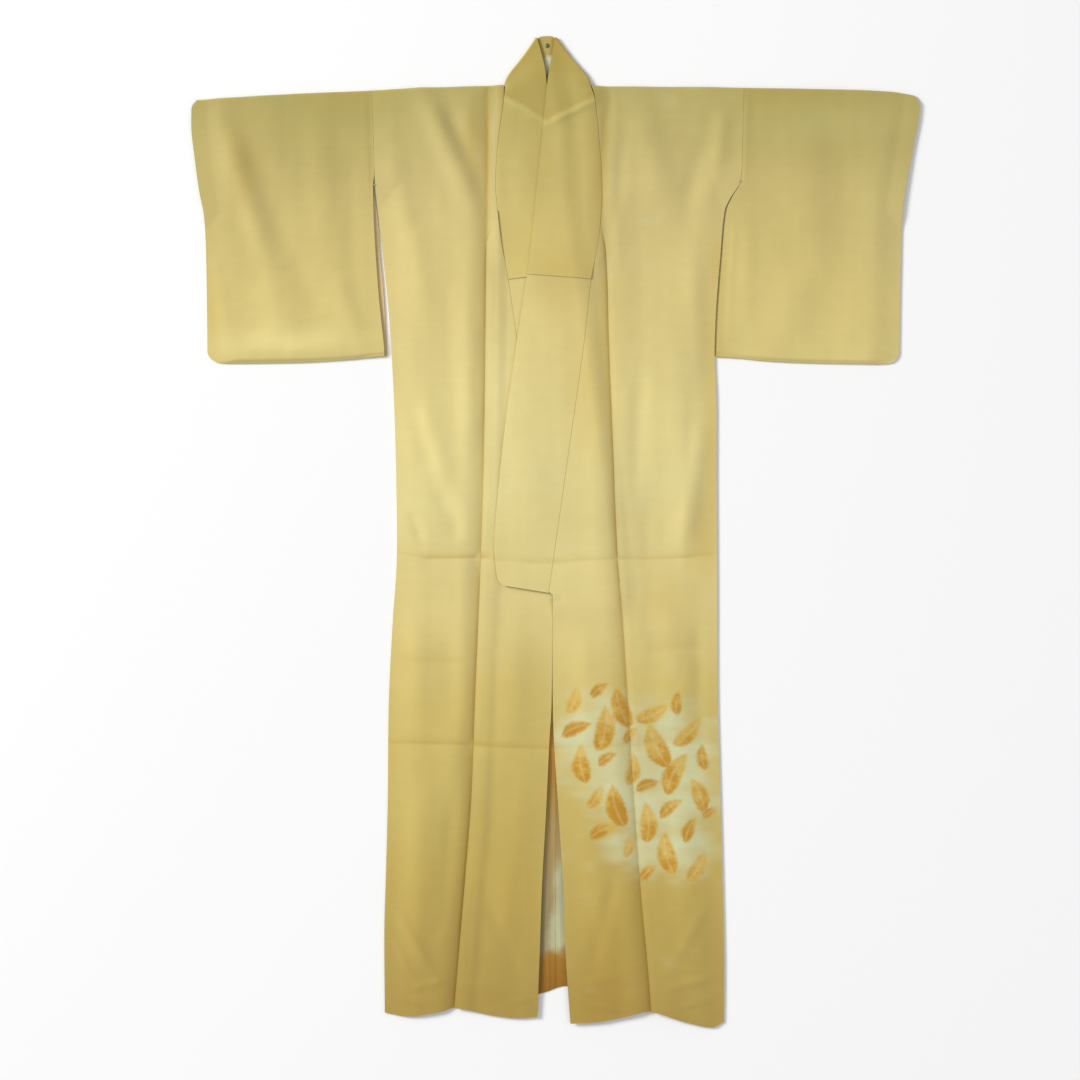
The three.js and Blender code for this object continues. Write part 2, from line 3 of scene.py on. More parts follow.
import bpy
import numpy as np
from bpy.props import FloatProperty, FloatVectorProperty, PointerProperty
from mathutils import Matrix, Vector


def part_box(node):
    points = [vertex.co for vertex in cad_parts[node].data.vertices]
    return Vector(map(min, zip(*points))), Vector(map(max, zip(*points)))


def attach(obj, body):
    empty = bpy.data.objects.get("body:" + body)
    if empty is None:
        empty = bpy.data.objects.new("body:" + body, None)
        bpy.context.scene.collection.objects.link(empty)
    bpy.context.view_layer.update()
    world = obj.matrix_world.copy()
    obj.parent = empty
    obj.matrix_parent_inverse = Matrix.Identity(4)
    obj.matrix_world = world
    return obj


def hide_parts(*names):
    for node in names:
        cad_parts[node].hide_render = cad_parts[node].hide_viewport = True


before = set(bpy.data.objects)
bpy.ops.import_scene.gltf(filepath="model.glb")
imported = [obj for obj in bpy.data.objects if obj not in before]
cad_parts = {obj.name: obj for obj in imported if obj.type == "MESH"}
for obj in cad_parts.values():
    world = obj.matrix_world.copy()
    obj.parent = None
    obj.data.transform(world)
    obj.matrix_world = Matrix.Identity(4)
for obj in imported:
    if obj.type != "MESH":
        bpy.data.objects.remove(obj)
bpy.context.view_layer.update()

bl_info = {
    "name": "Laid kimono",
    "version": (1, 0, 0),
    "blender": (4, 5, 0),
    "location": "View3D > Sidebar > Kimono",
    "description": "Dresses the packed solids of a lined silk kimono that lies flat, front up",
    "category": "Object",
}

MM = 0.001
# Thickness of the outer silk with its lining, and of a lining alone
CLOTH = 1.2 * MM
LINING = 1.0 * MM
# Gap between two layers and distance from one's middle to the other's, where they lie loose and
# where they are sewn
LAYER_GAP = 0.9 * MM
PITCH = CLOTH + LAYER_GAP
SEAM_GAP = 0.3 * MM
SEWN_PITCH = CLOTH + SEAM_GAP
COLLAR_GAP = 0.4 * MM
# Least clear height of a front: at its rim, over a lining and at the back of the neck
REST_GAP = 0.5 * MM
LINING_CLEAR = 1.8 * MM
NECK_CLEAR = 3.1 * MM
# Middle of a front's cloth at its rim, where it lies right on the back
RIM_HEIGHT = 1.5 * CLOTH + REST_GAP
# How far the under one of two panels goes on beneath a long fold, and how far past its end the
# upper one starts to come down
TUCK = 14 * MM
TUCK_CLEAR = 6 * MM
# Upper end of an overlap panel: the length in which it narrows, and its width at the very tip
TIP_LENGTH = 55 * MM
TIP_WIDTH = 3 * MM
SLEEVE_CORNER = 21 * MM
WRIST_OPENING = 230 * MM
# Level hem and shoulder line that the panels' rows are spaced between
HEM_LEVEL = -860 * MM
SHOULDER_LEVEL = 790 * MM
# Height of the kensaki, the overlap panels' upper tips
KENSAKI_Y = 572 * MM
COLLAR_END_Y = -100 * MM
OVER_COLLAR_END_Y = 455 * MM
OVER_COLLAR_LEFT_END_Y = 451 * MM
NECK_BACK_Y = 767 * MM
NECK_RIGHT_X = -95 * MM
NECK_LEFT_X = 67 * MM
NECK_GAP = 3.5 * MM
LINING_TOP = -340 * MM
LINING_REACH = 52 * MM
# How far a lining's foot stays above the back hem, and the sleeve's one inside its edge
LINING_HEM_RISE = 2 * MM
LINING_INSET = 0.5 * MM
SNAP_GAP = 0.1 * MM
SLEEVE_FOOT = 302 * MM
SLEEVE_TOP = 785 * MM
BACK_HEIGHT = CLOTH / 2
# The two long folds: dip and swell beside them, rise past them, and how far these reach
FOLD_DIP = 4.0 * MM
FOLD_SWELL = 1.5 * MM
FOLD_SPRING = 0.5 * MM
FOLD_REACH = 12 * MM
# How far the painted shade beside a long fold reaches
SHADE_REACH = 10 * MM
# Rise of the fronts to the neck, and bow of the collar where it turns over the shoulders
NECK_LEAN = 2.0 * MM
NECK_BOW = 4.0 * MM
BOW_REACH = 0.05
TURN_SPREAD = 0.8 * MM
TURN_REACH = 75 * MM
COLLAR_CROWN = 0.9 * MM
# Cloth above these heights belongs to a front, and to the front of the collar
FRONT_FROM = 2 * CLOTH
COLLAR_FRONT_FROM = 4 * CLOTH
TURN_HEIGHT = BACK_HEIGHT + 2 * PITCH + 0.2 * MM
SLEEVE_LINING_FOOT = 0.322
SLEEVE_LINING_TOP = 0.598
SLEEVE_LINING_WIDTH = 20 * MM
# Stretch in which a panel's rows bend to its hem or to its shoulder line
END_BLEND = 0.13
# Heights of the creases that run right across, where the rows lie closer together
CREASE_LEVELS = (-0.048, -0.380)
# Layers by which the left front lies higher over the right one's collar
COLLAR_LAYERS = 2.25
# Layers by which the fronts rise beside the over-collar
COLLAR_LIFT = 0.7
UP = np.array([0.0, 0.0, 1.0])

# Steps between the rows of the backs, of the backs by the neck, and of the two kinds of lining
BACK_STEP = 0.02
BACK_NECK_STEP = 0.0025
SKIRT_LINING_STEP = 0.005
SLEEVE_LINING_STEP = 0.004

# Columns and rows of the cloth meshes
BODY_COLUMNS = 76
OKUMI_COLUMNS = 34
SLEEVE_COLUMNS = 68
COLLAR_COLUMNS = 36
SKIRT_LINING_COLUMNS = 16
SLEEVE_LINING_COLUMNS = 8
COLLAR_ROWS = 250
NECK_ROWS = 30
TURN_STEPS = 8
# Edges bent by more than this many degrees are sharp
CLOTH_SMOOTH_BELOW = 40
SNAP_SMOOTH_BELOW = 50


def table(*rows):
    """Rows in millimetres, turned to metres."""
    return np.array(rows, float) * MM


# Edges of the pieces: height Y, place X
BODY_SIDE_RIGHT = table(
    (790, -327), (698, -324), (640, -322.6), (612, -321), (520, -311), (431, -301), (360, -295),
    (235, -288), (93, -284), (-50, -283), (-157, -290), (-299, -297), (-477, -299), (-602, -302),
    (-708, -305), (-870, -304))
BODY_SIDE_LEFT = table(
    (790, 335), (689, 332), (622, 328), (596, 312), (572, 301), (488, 293), (401, 286), (315, 283),
    (235, 286), (93, 286), (-50, 287), (-299, 288), (-406, 291), (-584, 296), (-762, 300),
    (-880, 299))
CREASE_RIGHT = table(
    (790, -121), (520, -123), (164, -127), (-50, -133), (-299, -143), (-477, -150), (-619, -161),
    (-726, -170), (-860, -180))
CREASE_LEFT = table(
    (790, 88), (680, 84), (591, 84), (457, 92), (342, 95), (164, 102), (-50, 111), (-157, 120),
    (-299, 129), (-477, 140), (-655, 153), (-762, 163), (-865, 171))
COLLAR_SEAM_RIGHT = table(
    (793, -90), (771, -92), (689, -103), (618, -107), (591, -105), (520, -97), (460, -86),
    (360, -71), (164, -42), (-110, -6))
COLLAR_SEAM_LEFT = table(
    (793, 62), (774, 69), (680, 79), (600, 83), (520, 76), (449, 63), (342, 51), (164, 26),
    (-110, -13))
FRONT_EDGE_RIGHT = table(
    (-110, -6), (-210, -6.1), (-310, -7.4), (-370, -11), (-497, -17), (-625, -24), (-739, -28),
    (-870, -33))
FRONT_EDGE_LEFT = table(
    (-110, -5.6), (-210, -5.6), (-299, -5.2), (-370, -3), (-497, 5), (-625, 13), (-739, 17),
    (-880, 28))
SLEEVE_OUTER_RIGHT = table(
    (790, -636), (785, -640), (781, -644.5), (776, -647.3), (770, -648.3), (720, -648), (653, -641),
    (604, -634), (562, -626), (470, -622), (300, -620))
SLEEVE_OUTER_LEFT = table(
    (790, 636), (785, 640), (781, 644.5), (776, 647.3), (770, 648), (738, 645), (664, 632),
    (576, 618), (470, 614), (300, 611))
SLEEVE_INNER_RIGHT = table(
    (790, -327.4), (698, -324.4), (640, -323.2), (612, -325), (541, -323), (435, -316), (313, -305))
SLEEVE_BACK_INNER_RIGHT = table(
    (790, -327.4), (698, -324.4), (640, -323.2), (612, -323), (560, -316.5), (506, -313.5), (425, -306),
    (354, -302), (313, -300))
SLEEVE_INNER_LEFT = table(
    (790, 335.4), (689, 332.4), (622, 328.6), (596, 314), (572, 304), (488, 296), (401, 290),
    (316, 286))
SLEEVE_BACK_INNER_LEFT = table(
    (790, 335.4), (689, 332.4), (622, 328.8), (596, 313.3), (572, 302.7), (488, 293.9), (401, 286.8),
    (316, 283.9))

# Ends of the pieces: place X, height Y
SHOULDER = table(
    (-648, 766), (-475, 777), (-334, 783), (-229, 788), (-90, 792), (62, 791), (203, 790),
    (326, 788), (502, 785), (608, 780), (648, 773))
SLEEVE_BOTTOM = table(
    (-620, 302), (-455, 304), (-366, 309), (-300, 315), (286, 314), (368, 307), (449, 303),
    (620, 300))
HEM_RIGHT = table(
    (-304, -856), (-259, -862), (-201, -853), (-179, -847), (-115, -860), (-72, -865), (-33, -863))
HEM_LEFT = table(
    (28, -875), (76, -872), (119, -864), (171, -854), (219, -869), (279, -882), (300, -872))
HEM_BACK = table(
    (-304, -848), (-160, -838), (-30, -823), (21, -809), (160, -836), (300, -864))

# The collar's stations. Fronts: seam Y, free edge X, free edge Y. Back: seam X, free edge X, Y.
COLLAR_UNDER = table(
    (-108, 100, -97), (164, 66, 176), (360, 37, 375), (460, 23, 474), (520, 12, 533),
    (591, 5, 600), (689, -1, 700), (771, -15, 790), (786, -20, 830), (793, -33, 879))
COLLAR_BACK = table(
    (-90, -33, 879), (-55, -26, 882), (-14, -16, 883), (30, -7, 882.5), (62, -1, 879.5))
COLLAR_TOP = table(
    (793, -1, 879.5), (788, -8, 842), (774, -15, 797), (680, -27, 675), (600, -35, 600),
    (520, -43, 520), (449, -51, 457.5), (342, -69, 338), (164, -91, 180), (-34, -110, -16),
    (-66, -108, -48), (-92, -105, -75), (-103, -101, -88), (-108, -93, -95))

# The V that the collar is folded along at the neck: place X, height Y
NECK_FOLD = table((-100, 780), (-58, 759), (-24, 737), (-17, 731), (37, 758), (80, 780))
# Folds inside the back of the neck, where painted shade lies: from X, Y to X, Y, width
INNER_FOLD_SHADE = table((-33, 878, -15, 800, 5), (-3, 882, -9, 838, 4))

# Patches of painted light and painted shade: X, Y, half width, half height, and how much paler with
# painted light (or, below 0, deeper with painted shade)
LIGHT_AND_SHADE_PATCHES = (
    (61, 260, 40, 150, -0.4), (95, -760, 60, 170, -0.45), (-75, -560, 60, 150, -0.25),
    (195, -120, 45, 60, -0.3), (-150, 700, 16, 66, -0.5), (6, 445, 46, 60, -0.35),
    (-470, 343, 110, 24, 0.8), (470, 735, 140, 38, 0.75), (590, 560, 46, 150, 0.6),
    (-225, -160, 45, 60, 0.45), (-100, 240, 24, 110, 0.55), (28, 800, 34, 40, 0.8),
    (-75, 640, 20, 60, 0.6), (86, 690, 9, 100, -0.6), (-122, 680, 7, 110, -0.45),
    (262, -10, 26, 70, -0.55), (281, 120, 18, 110, -0.6), (280, 330, 20, 120, -0.4),
    (288, 480, 16, 60, -0.3), (-556, 650, 26, 70, -0.35), (-608, 390, 18, 70, -0.35))

# Soft folds of the fronts and sleeves: from X, Y to X, Y, half width, rise
SOFT_FOLDS = table(
    (-240, 790, -150, 575, 28, 5.0),
    (-215, 760, -135, 570, 22, 1.8),
    (-200, 770, -140, 640, 24, -3.2),
    (-90, 766, -20, 726, 10, 1.8),
    (66, 766, -16, 726, 10, 1.8),
    (-290, 700, -270, 520, 30, 2.6),
    (-255, 560, -225, 380, 34, 2.4),
    (-270, 265, -216, 87, 26, -2.4),
    (-216, 87, -165, -20, 24, -2.4),
    (-245, 250, -180, 60, 30, 2.2),
    (-262, 39, -238, -20, 15, -2.4),
    (-160, 420, -150, 120, 30, 2.0),
    (-258, -120, -240, -330, 44, 2.4),
    (-190, -170, -180, -360, 26, -1.2),
    (-225, -420, -245, -760, 48, 3.4),
    (-180, -450, -200, -700, 18, -1.6),
    (-290, -560, -290, -800, 22, -1.4),
    (-298, -650, -212, -795, 15, 1.9),
    (-301, -705, -256, -790, 10, 1.4),
    (-262, -812, -196, -800, 9, 1.1),
    (-292, -826, -225, -842, 9, 1.2),
    (-150, -800, -96, -822, 11, 1.1),
    (-84, -838, -44, -830, 7, 0.9),
    (-70, -150, -85, -420, 40, 2.6),
    (-60, -430, -100, -800, 40, 2.4),
    (-130, -640, -60, -800, 20, -1.4),
    (55, -160, 70, -420, 40, 2.6),
    (60, -430, 95, -800, 40, 2.4),
    (110, -600, 60, -790, 18, -1.4),
    (205, -100, 215, -380, 50, 4.0),
    (255, -180, 262, -420, 18, -1.6),
    (215, -420, 245, -800, 50, 3.4),
    (286, -640, 205, -775, 15, 0.9),
    (200, -812, 290, -792, 10, 1.4),
    (222, -846, 286, -830, 8, 1.1),
    (44, -838, 118, -852, 9, 1.2),
    (52, -800, 110, -790, 12, 0.9),
    (212, 470, 222, -70, 36, 2.6),
    (180, 420, 170, 80, 40, 1.4),
    (270, 215, 228, -40, 28, 4.4),
    (248, 520, 256, 240, 28, 3.4),
    (150, 300, 140, 40, 22, -1.6),
    (150, 770, 200, 570, 40, 4.2),
    (265, 720, 235, 560, 26, -2.0),
    (120, 720, 110, 560, 18, -1.2),
    (300, 760, 290, 640, 20, 2.0),
    (-592, 735, -507, 470, 32, 5.2),
    (-507, 470, -470, 330, 46, 4.2),
    (-550, 710, -470, 500, 40, -1.9),
    (-470, 500, -415, 383, 32, -2.0),
    (-430, 740, -400, 500, 36, 2.6),
    (-365, 700, -360, 420, 22, -0.9),
    (-395, 470, -350, 340, 26, 2.4),
    (-615, 520, -590, 350, 20, 2.2),
    (430, 740, 450, 480, 62, 2.6),
    (450, 480, 400, 330, 56, 3.0),
    (360, 730, 370, 480, 30, -0.5),
    (345, 560, 335, 350, 22, 1.3),
    (590, 740, 570, 400, 60, 2.2),
    (510, 700, 505, 420, 40, -0.9),
    (-600, 318, -350, 324, 28, 2.6),
)

# Pressed creases: the same columns, but with a sharp line along the middle
PRESSED_CREASES = table(
    (-330, -30, -220, -47, 5, -0.9),
    (-238, -47, -112, -45, 6, -2.1),
    (-150, -46, 30, -57, 5, -1.0),
    (-60, -56, 130, -46, 5, -0.9),
    (90, -49, 260, -46, 6, -1.1),
    (200, -48, 330, -34, 6, -1.1),
    (-330, -374, -110, -379, 6, -1.3),
    (-170, -380, 20, -386, 6, -1.1),
    (-10, -384, 170, -380, 6, -0.7),
    (120, -380, 330, -376, 7, -0.6),
    (-286, -225, -150, -232, 12, -0.8),
    (160, -208, 262, -201, 12, -0.8),
    (-10, -125, 14, -116, 5, -0.8),
    (-331, 780, -325, 615, 3, -0.5),
    (-339, 780, -332, 600, 3, 0.5),
    (341, 780, 335, 600, 3, 0.7),
    (318, 560, 305, 330, 5, 0.9),
)

# Uneven slack between the folds: part, wave length across and along, lean, seed
SLACK = ((1.2, 0.10, 0.23, 0.3, 3), (0.4, 0.045, 0.11, 0.4, 5), (0.16, 0.016, 0.035, 0.0, 8))

# Parts of red, green and blue that the silk keeps at each height in metres: mostly painted shade where
# the light falls off towards the shoulders and the hem, partly a deeper dye
DYE_AND_FALLOFF_STOPS = (
    (-0.88, (0.785, 0.71, 0.505)), (-0.80, (0.81, 0.742, 0.555)), (-0.655, (0.86, 0.805, 0.615)),
    (-0.477, (0.90, 0.86, 0.715)), (-0.30, (0.93, 0.89, 0.755)), (-0.12, (0.975, 0.955, 0.92)),
    (0.06, (1.0, 1.0, 1.0)), (0.235, (1.0, 0.99, 0.97)), (0.413, (0.972, 0.952, 0.91)),
    (0.59, (0.915, 0.893, 0.85)), (0.769, (0.815, 0.806, 0.71)), (0.88, (0.81, 0.77, 0.616)))
# Parts of red, green and blue that the silk keeps under painted shade: beside the folds, in hollows and
# on the darker patches
PAINTED_SHADE_TINT = (0.86, 0.74, 0.46, 1.0)
# Parts of red, green and blue under painted light: the painted highlight on the lip at the neck and the
# paler patches
FOLD_LIGHT = (1.16, 1.2, 1.34, 1.0)
# Painted shade: parts of red, green and blue that the same outer silk keeps on the sleeves and on the
# over-collar, which lie darker
SLEEVE_SHADE = (0.93, 0.92, 0.85)
OVER_COLLAR_SHADE = (0.99, 0.965, 0.82)

# Screen colours
PALE_INSIDE = (204, 210, 178)
DEEP_LEAF = (182, 130, 14)
SLEEVE_LINING = (210, 182, 134)
SNAP_DARK = (92, 102, 74)
SNAP_PALE = (128, 136, 104)
# The skirt lining's colours: height in metres, screen colour. The brown is painted shadow that the
# right front casts on the lining, as is the darker top of the mint; the rust is the lining's dye.
LINING_SHADOW = (
    (-0.70, (152, 137, 98)), (-0.52, (167, 140, 82)), (-0.44, (174, 130, 56)), (-0.36, (184, 130, 46)))
LINING_MINT = ((-0.74, (182, 180, 140)), (-0.60, (184, 184, 148)), (-0.50, (156, 136, 90)))
LINING_RUST = ((-0.85, (140, 92, 18)), (-0.75, (158, 114, 36)))

SILK_ROUGHNESS = 0.52
LINING_ROUGHNESS = 0.42
SILK_FINISH = {
    "Sheen Weight": 0.1, "Sheen Roughness": 0.45, "Sheen Tint": (1.0, 0.93, 0.72, 1.0),
    "Specular IOR Level": 0.3,
}

# Leaves on the mist: X, Y, length, width in millimetres, turn in degrees, tone
LEAVES = (
    (30, -298, 54, 26, 72, 0.3), (78, -282, 40, 20, 38, 0.8), (120, -310, 78, 36, 108, 0.5),
    (38, -352, 58, 27, 22, 0.8), (82, -348, 84, 39, 82, 0.4), (134, -362, 38, 18, 50, 0.7),
    (172, -320, 66, 30, 28, 0.3), (218, -304, 44, 22, 86, 0.8), (184, -378, 88, 42, 114, 0.5),
    (234, -354, 70, 31, 48, 0.3), (264, -400, 48, 23, 98, 0.7), (50, -412, 72, 34, 97, 0.5),
    (92, -404, 40, 20, 34, 0.9), (134, -422, 58, 28, 80, 0.3), (216, -430, 82, 38, 63, 0.5),
    (164, -452, 46, 22, 18, 0.9), (252, -468, 66, 32, 112, 0.4), (70, -470, 50, 24, 58, 0.3),
    (112, -486, 80, 38, 106, 0.8), (206, -492, 52, 24, 38, 0.6), (160, -516, 74, 34, 92, 0.4),
    (240, -530, 50, 24, 68, 0.9), (276, -500, 34, 17, 30, 0.6), (84, -534, 52, 25, 24, 0.7),
    (128, -558, 44, 21, 76, 0.3), (202, -570, 78, 36, 101, 0.5), (166, -606, 42, 20, 42, 0.8),
    (250, -594, 62, 29, 60, 0.3),
)
# Value of a leaf's attributes away from every leaf
FAR = 0.05
# Bend of a leaf as a part of its half length, and the part of its length that its midrib takes
LEAF_BEND = 0.16
RIB_END = 0.86
# The greatest value of the leaf's swell before it is scaled to one
LEAF_SWELL = 0.385
MIST_COVER = 0.74
# Puffs of the mist: X, Y, half width, half height
MIST = table(
    (60, -320, 70, 46), (150, -345, 95, 60), (225, -350, 60, 44), (70, -410, 70, 60),
    (170, -430, 100, 70), (250, -440, 60, 70), (110, -500, 80, 60), (200, -520, 90, 70),
    (150, -575, 70, 42), (240, -580, 60, 46), (20, -370, 40, 40))


def clamp(value, low=0.0, high=1.0):
    return np.minimum(np.maximum(value, low), high)


def lerp(a, b, t):
    return a + (b - a) * t


def smooth(value, low, high):
    t = clamp((value - low) / (high - low))
    return t * t * (3 - 2 * t)


def curve(rows):
    """Smooth curve through a table's first and second columns."""
    at, value = rows[np.argsort(rows[:, 0])][:, :2].T
    before = np.maximum(np.arange(len(at)) - 1, 0)
    after = np.minimum(np.arange(len(at)) + 1, len(at) - 1)
    slope = (value[after] - value[before]) / (at[after] - at[before])

    def through(x):
        x = clamp(x, at[0], at[-1])
        i = np.clip(np.searchsorted(at, x, side="right") - 1, 0, len(at) - 2)
        span = at[i + 1] - at[i]
        t = (x - at[i]) / span
        held = value[i] * (1 + 2 * t) * (1 - t) ** 2 + value[i + 1] * t * t * (3 - 2 * t)
        turned = slope[i] * (1 - t) ** 2 * t - slope[i + 1] * t * t * (1 - t)
        return held + turned * span

    return through


side_right = curve(BODY_SIDE_RIGHT)
side_left = curve(BODY_SIDE_LEFT)
crease_right = curve(CREASE_RIGHT)
crease_left = curve(CREASE_LEFT)
seam_right = curve(COLLAR_SEAM_RIGHT)
seam_left = curve(COLLAR_SEAM_LEFT)
edge_right = curve(FRONT_EDGE_RIGHT)
edge_left = curve(FRONT_EDGE_LEFT)
shoulder = curve(SHOULDER)
under_collar_edge = curve(COLLAR_UNDER[:, [2, 1]])


def cloth_noise(x, y, wave_x, wave_y, seed):
    """Smooth noise from -1 to 1, with a wave length across and one along."""
    rng = np.random.default_rng(seed)
    lattice = rng.uniform(-1, 1, (64, 64))
    u, v = np.asarray(x) / wave_x + 32, np.asarray(y) / wave_y + 32
    i, j = np.floor(u).astype(int), np.floor(v).astype(int)
    s, t = u - i, v - j
    s, t = s * s * (3 - 2 * s), t * t * (3 - 2 * t)

    def at(a, b):
        return lattice[a % 64, b % 64]

    return lerp(lerp(at(i, j), at(i + 1, j), s), lerp(at(i, j + 1), at(i + 1, j + 1), s), t)


def soft_folds(x, y):
    """Sum of the soft folds at each point, each one faint at its ends."""
    total = np.zeros(np.broadcast(x, y).shape)
    for x0, y0, x1, y1, width, rise in SOFT_FOLDS:
        dx, dy = x1 - x0, y1 - y0
        t = clamp(((x - x0) * dx + (y - y0) * dy) / (dx * dx + dy * dy))
        away = np.hypot(x - x0 - t * dx, y - y0 - t * dy) / width
        ends = 0.3 + 0.7 * smooth(t, 0, 0.3) * (1 - smooth(t, 0.7, 1))
        total += rise * ends * np.exp(-2 * away * away)
    return total


def pressed_creases(x, y):
    """Sum of the sharp creases at each point, steeper on their upper side."""
    total = np.zeros(np.broadcast(x, y).shape)
    for x0, y0, x1, y1, width, rise in PRESSED_CREASES:
        length = math.hypot(x1 - x0, y1 - y0)
        dx, dy = (x1 - x0) / length, (y1 - y0) / length
        along = ((x - x0) * dx + (y - y0) * dy) / length
        across = ((y - y0) * dx - (x - x0) * dy) * (1 if dx >= 0 else -1)
        ends = 1 - smooth(np.abs(along - 0.5), 0.34, 0.56)
        total += rise * ends * np.exp(-np.abs(across) / (width * np.where(across > 0, 1.1, 2.4)))
    return total


def overlap_folds(x, y, on_top):
    """Both long folds beside the overlap: cloth dips towards them and lies higher past them."""
    total = np.zeros(np.broadcast(x, y).shape)
    tucked = 1 - smooth(y, KENSAKI_Y - 0.06, KENSAKI_Y + 0.01)
    steep = 1 - smooth(y, KENSAKI_Y - 0.17, KENSAKI_Y - 0.07)
    for crease, depth in ((crease_right, 1.0), (crease_left, 0.9)):
        past = x - crease(y)
        swing = 1 + 0.22 * cloth_noise(crease(y), y, 0.3, 0.13, 13)
        dip = FOLD_DIP * lerp(0.55, 1.0, tucked) * np.exp(np.minimum(past, 0) / FOLD_REACH)
        dip -= FOLD_SWELL * np.exp(-((past + 2.4 * FOLD_REACH) / (1.6 * FOLD_REACH)) ** 2)
        spring = FOLD_SPRING * np.exp(-np.maximum(past, 0) / (2 * FOLD_REACH))
        rise = smooth(past, lerp(-0.001, 0.002, steep), lerp(0.024, 0.007, steep))
        if on_top is crease:
            lying = 1 - 0.16 * (1 - smooth(past, 0, 0.012))
            rise = lerp(lying, rise, smooth(y, KENSAKI_Y - 0.10, KENSAKI_Y - 0.005))
        total += depth * swing * lerp(-dip, spring, rise)
    return total * (1 - 0.75 * smooth(y, 0.772, 0.79))


def fold_wear(x, y, on_top):
    """Painted shade from 0 to 1, beside the long folds and over the pressed creases."""
    painted_dark = np.zeros(np.broadcast(x, y).shape)
    for crease in (crease_right, crease_left):
        past = x - crease(y)
        band = np.exp(np.minimum(past, 0) / SHADE_REACH) * (1 - smooth(past, 0, 0.002))
        if on_top is not crease:
            painted_dark = np.maximum(painted_dark, band * lerp(0.85, 0.62, smooth(y, -0.8, -0.1)))
    for x0, y0, x1, y1, width, rise in PRESSED_CREASES:
        if abs(x1 - x0) > abs(y1 - y0) and y0 < 0:
            over = y - lerp(y0, y1, clamp((x - x0) / (x1 - x0)))
            inside = 1 - smooth(np.abs((x - x0) / (x1 - x0) - 0.5), 0.34, 0.56)
            line = np.where(over > 0, np.exp(-over / width), np.exp(over / (0.3 * width)))
            painted_dark = np.maximum(painted_dark, np.minimum(0.3 * abs(rise) / MM, 0.6) * inside * line)
    return painted_dark


def neck_painted_shade(x, y):
    """Painted shade of the collar above the V at the neck, most along the V itself."""
    above = y - np.interp(x, NECK_FOLD[:, 0], NECK_FOLD[:, 1])
    return 0.55 * smooth(above, 0, 0.004) * (0.4 + 0.6 * np.exp(-np.maximum(above, 0) / 0.012))


def neck_light(x, y):
    """Painted highlight on the lip of the V at the neck."""
    above = y - np.interp(x, NECK_FOLD[:, 0], NECK_FOLD[:, 1])
    return 0.7 * np.exp(-((above + 0.0055) / 0.0055) ** 2) * (1 - smooth(np.abs(x + 0.013), 0.08, 0.1))


def patch_light_and_shade(x, y):
    """Sum of the patches of painted light and painted shade at each point."""
    return sum(tone * np.exp(-((x / MM - a) / w) ** 2 - ((y / MM - b) / h) ** 2)
               for a, b, w, h, tone in LIGHT_AND_SHADE_PATCHES)


def inner_painted_shade(x, y):
    """Painted shade on the collar's inner face along its folds at the back of the neck."""
    painted_dark = np.zeros(np.broadcast(x, y).shape)
    for x0, y0, x1, y1, width in INNER_FOLD_SHADE:
        line = lerp(x0, x1, clamp((y - y0) / (y1 - y0)))
        painted_dark = np.maximum(painted_dark, np.exp(-((x - line) / width) ** 2) * smooth(y, y1 - 0.012, y1))
    return painted_dark


def relief(x, y, on_top=None):
    """Clear height of the fronts over the back. A piece on top of a long fold doesn't dip there."""
    sizes = bpy.context.scene.kimono
    soft = soft_folds(x, y)
    by_neck = 1 - smooth(np.abs(x + 0.012), 0.06, 0.10)
    pressed = pressed_creases(x, y) + overlap_folds(x, y, on_top)
    pressed = pressed + NECK_LEAN * by_neck * smooth(y, 0.742, 0.83)
    slack = sum(part * cloth_noise(x + lean * y, y, across, along, seed)
                for part, across, along, lean, seed in SLACK)
    # The fronts lie clear of the skirt lining and of the collar at the back of the neck
    lined = (1 - smooth(y, LINING_TOP + 0.01, LINING_TOP + 0.06)) * (
        1 - smooth(np.abs(x), LINING_REACH + 0.008, LINING_REACH + 0.043))
    neck = smooth(y, 0.70, 0.76) * (1 - smooth(np.abs(x + 0.014), 0.09, 0.15))
    least = np.maximum(REST_GAP, np.maximum(lined * LINING_CLEAR, neck * NECK_CLEAR))
    full = sizes.fullness + sizes.fold_scale * soft + pressed + sizes.slack * slack
    return 0.5 * (full + least + np.sqrt((full - least) ** 2 + (0.6 * MM) ** 2))


def front_height(x, y, layers, on_top=None):
    """Middle of the front's cloth, on so many layers more than the back."""
    return 1.5 * CLOTH + relief(x, y, on_top) + PITCH * layers


def layers_under_left(x, y):
    """The right front's collar and over-collar lie under the left front here, with some ease."""
    edge = under_collar_edge(y)
    beside = 1 - smooth(x, edge + 0.006, edge + 0.046)
    return COLLAR_LAYERS * beside * smooth(y, COLLAR_END_Y - 0.08, COLLAR_END_Y - 0.015)


def beside_collar(x, y):
    """Layers by which the fronts rise towards the over-collar beside them."""
    away = np.maximum(seam_right(y) - x, x - seam_left(y))
    near = 1 - smooth(away, 0.003, 0.03)
    return COLLAR_LIFT * near * smooth(y, OVER_COLLAR_END_Y - 0.01, OVER_COLLAR_END_Y + 0.04)


def neckline(x):
    """Height of the body's edge round the back of the neck."""
    reach = np.where(x < 0, NECK_RIGHT_X, NECK_LEFT_X)
    return lerp(NECK_BACK_Y, SHOULDER_LEVEL, (x / reach) ** 2)


def centre_edge(sign, neck_x):
    """Inner edge of a back: the centre seam, then the neckline."""
    seam = sign * SEAM_GAP / 2

    def inner(y):
        rise = clamp((y - NECK_BACK_Y) / (SHOULDER_LEVEL - NECK_BACK_Y))
        return lerp(seam, neck_x, np.sqrt(rise))

    return inner


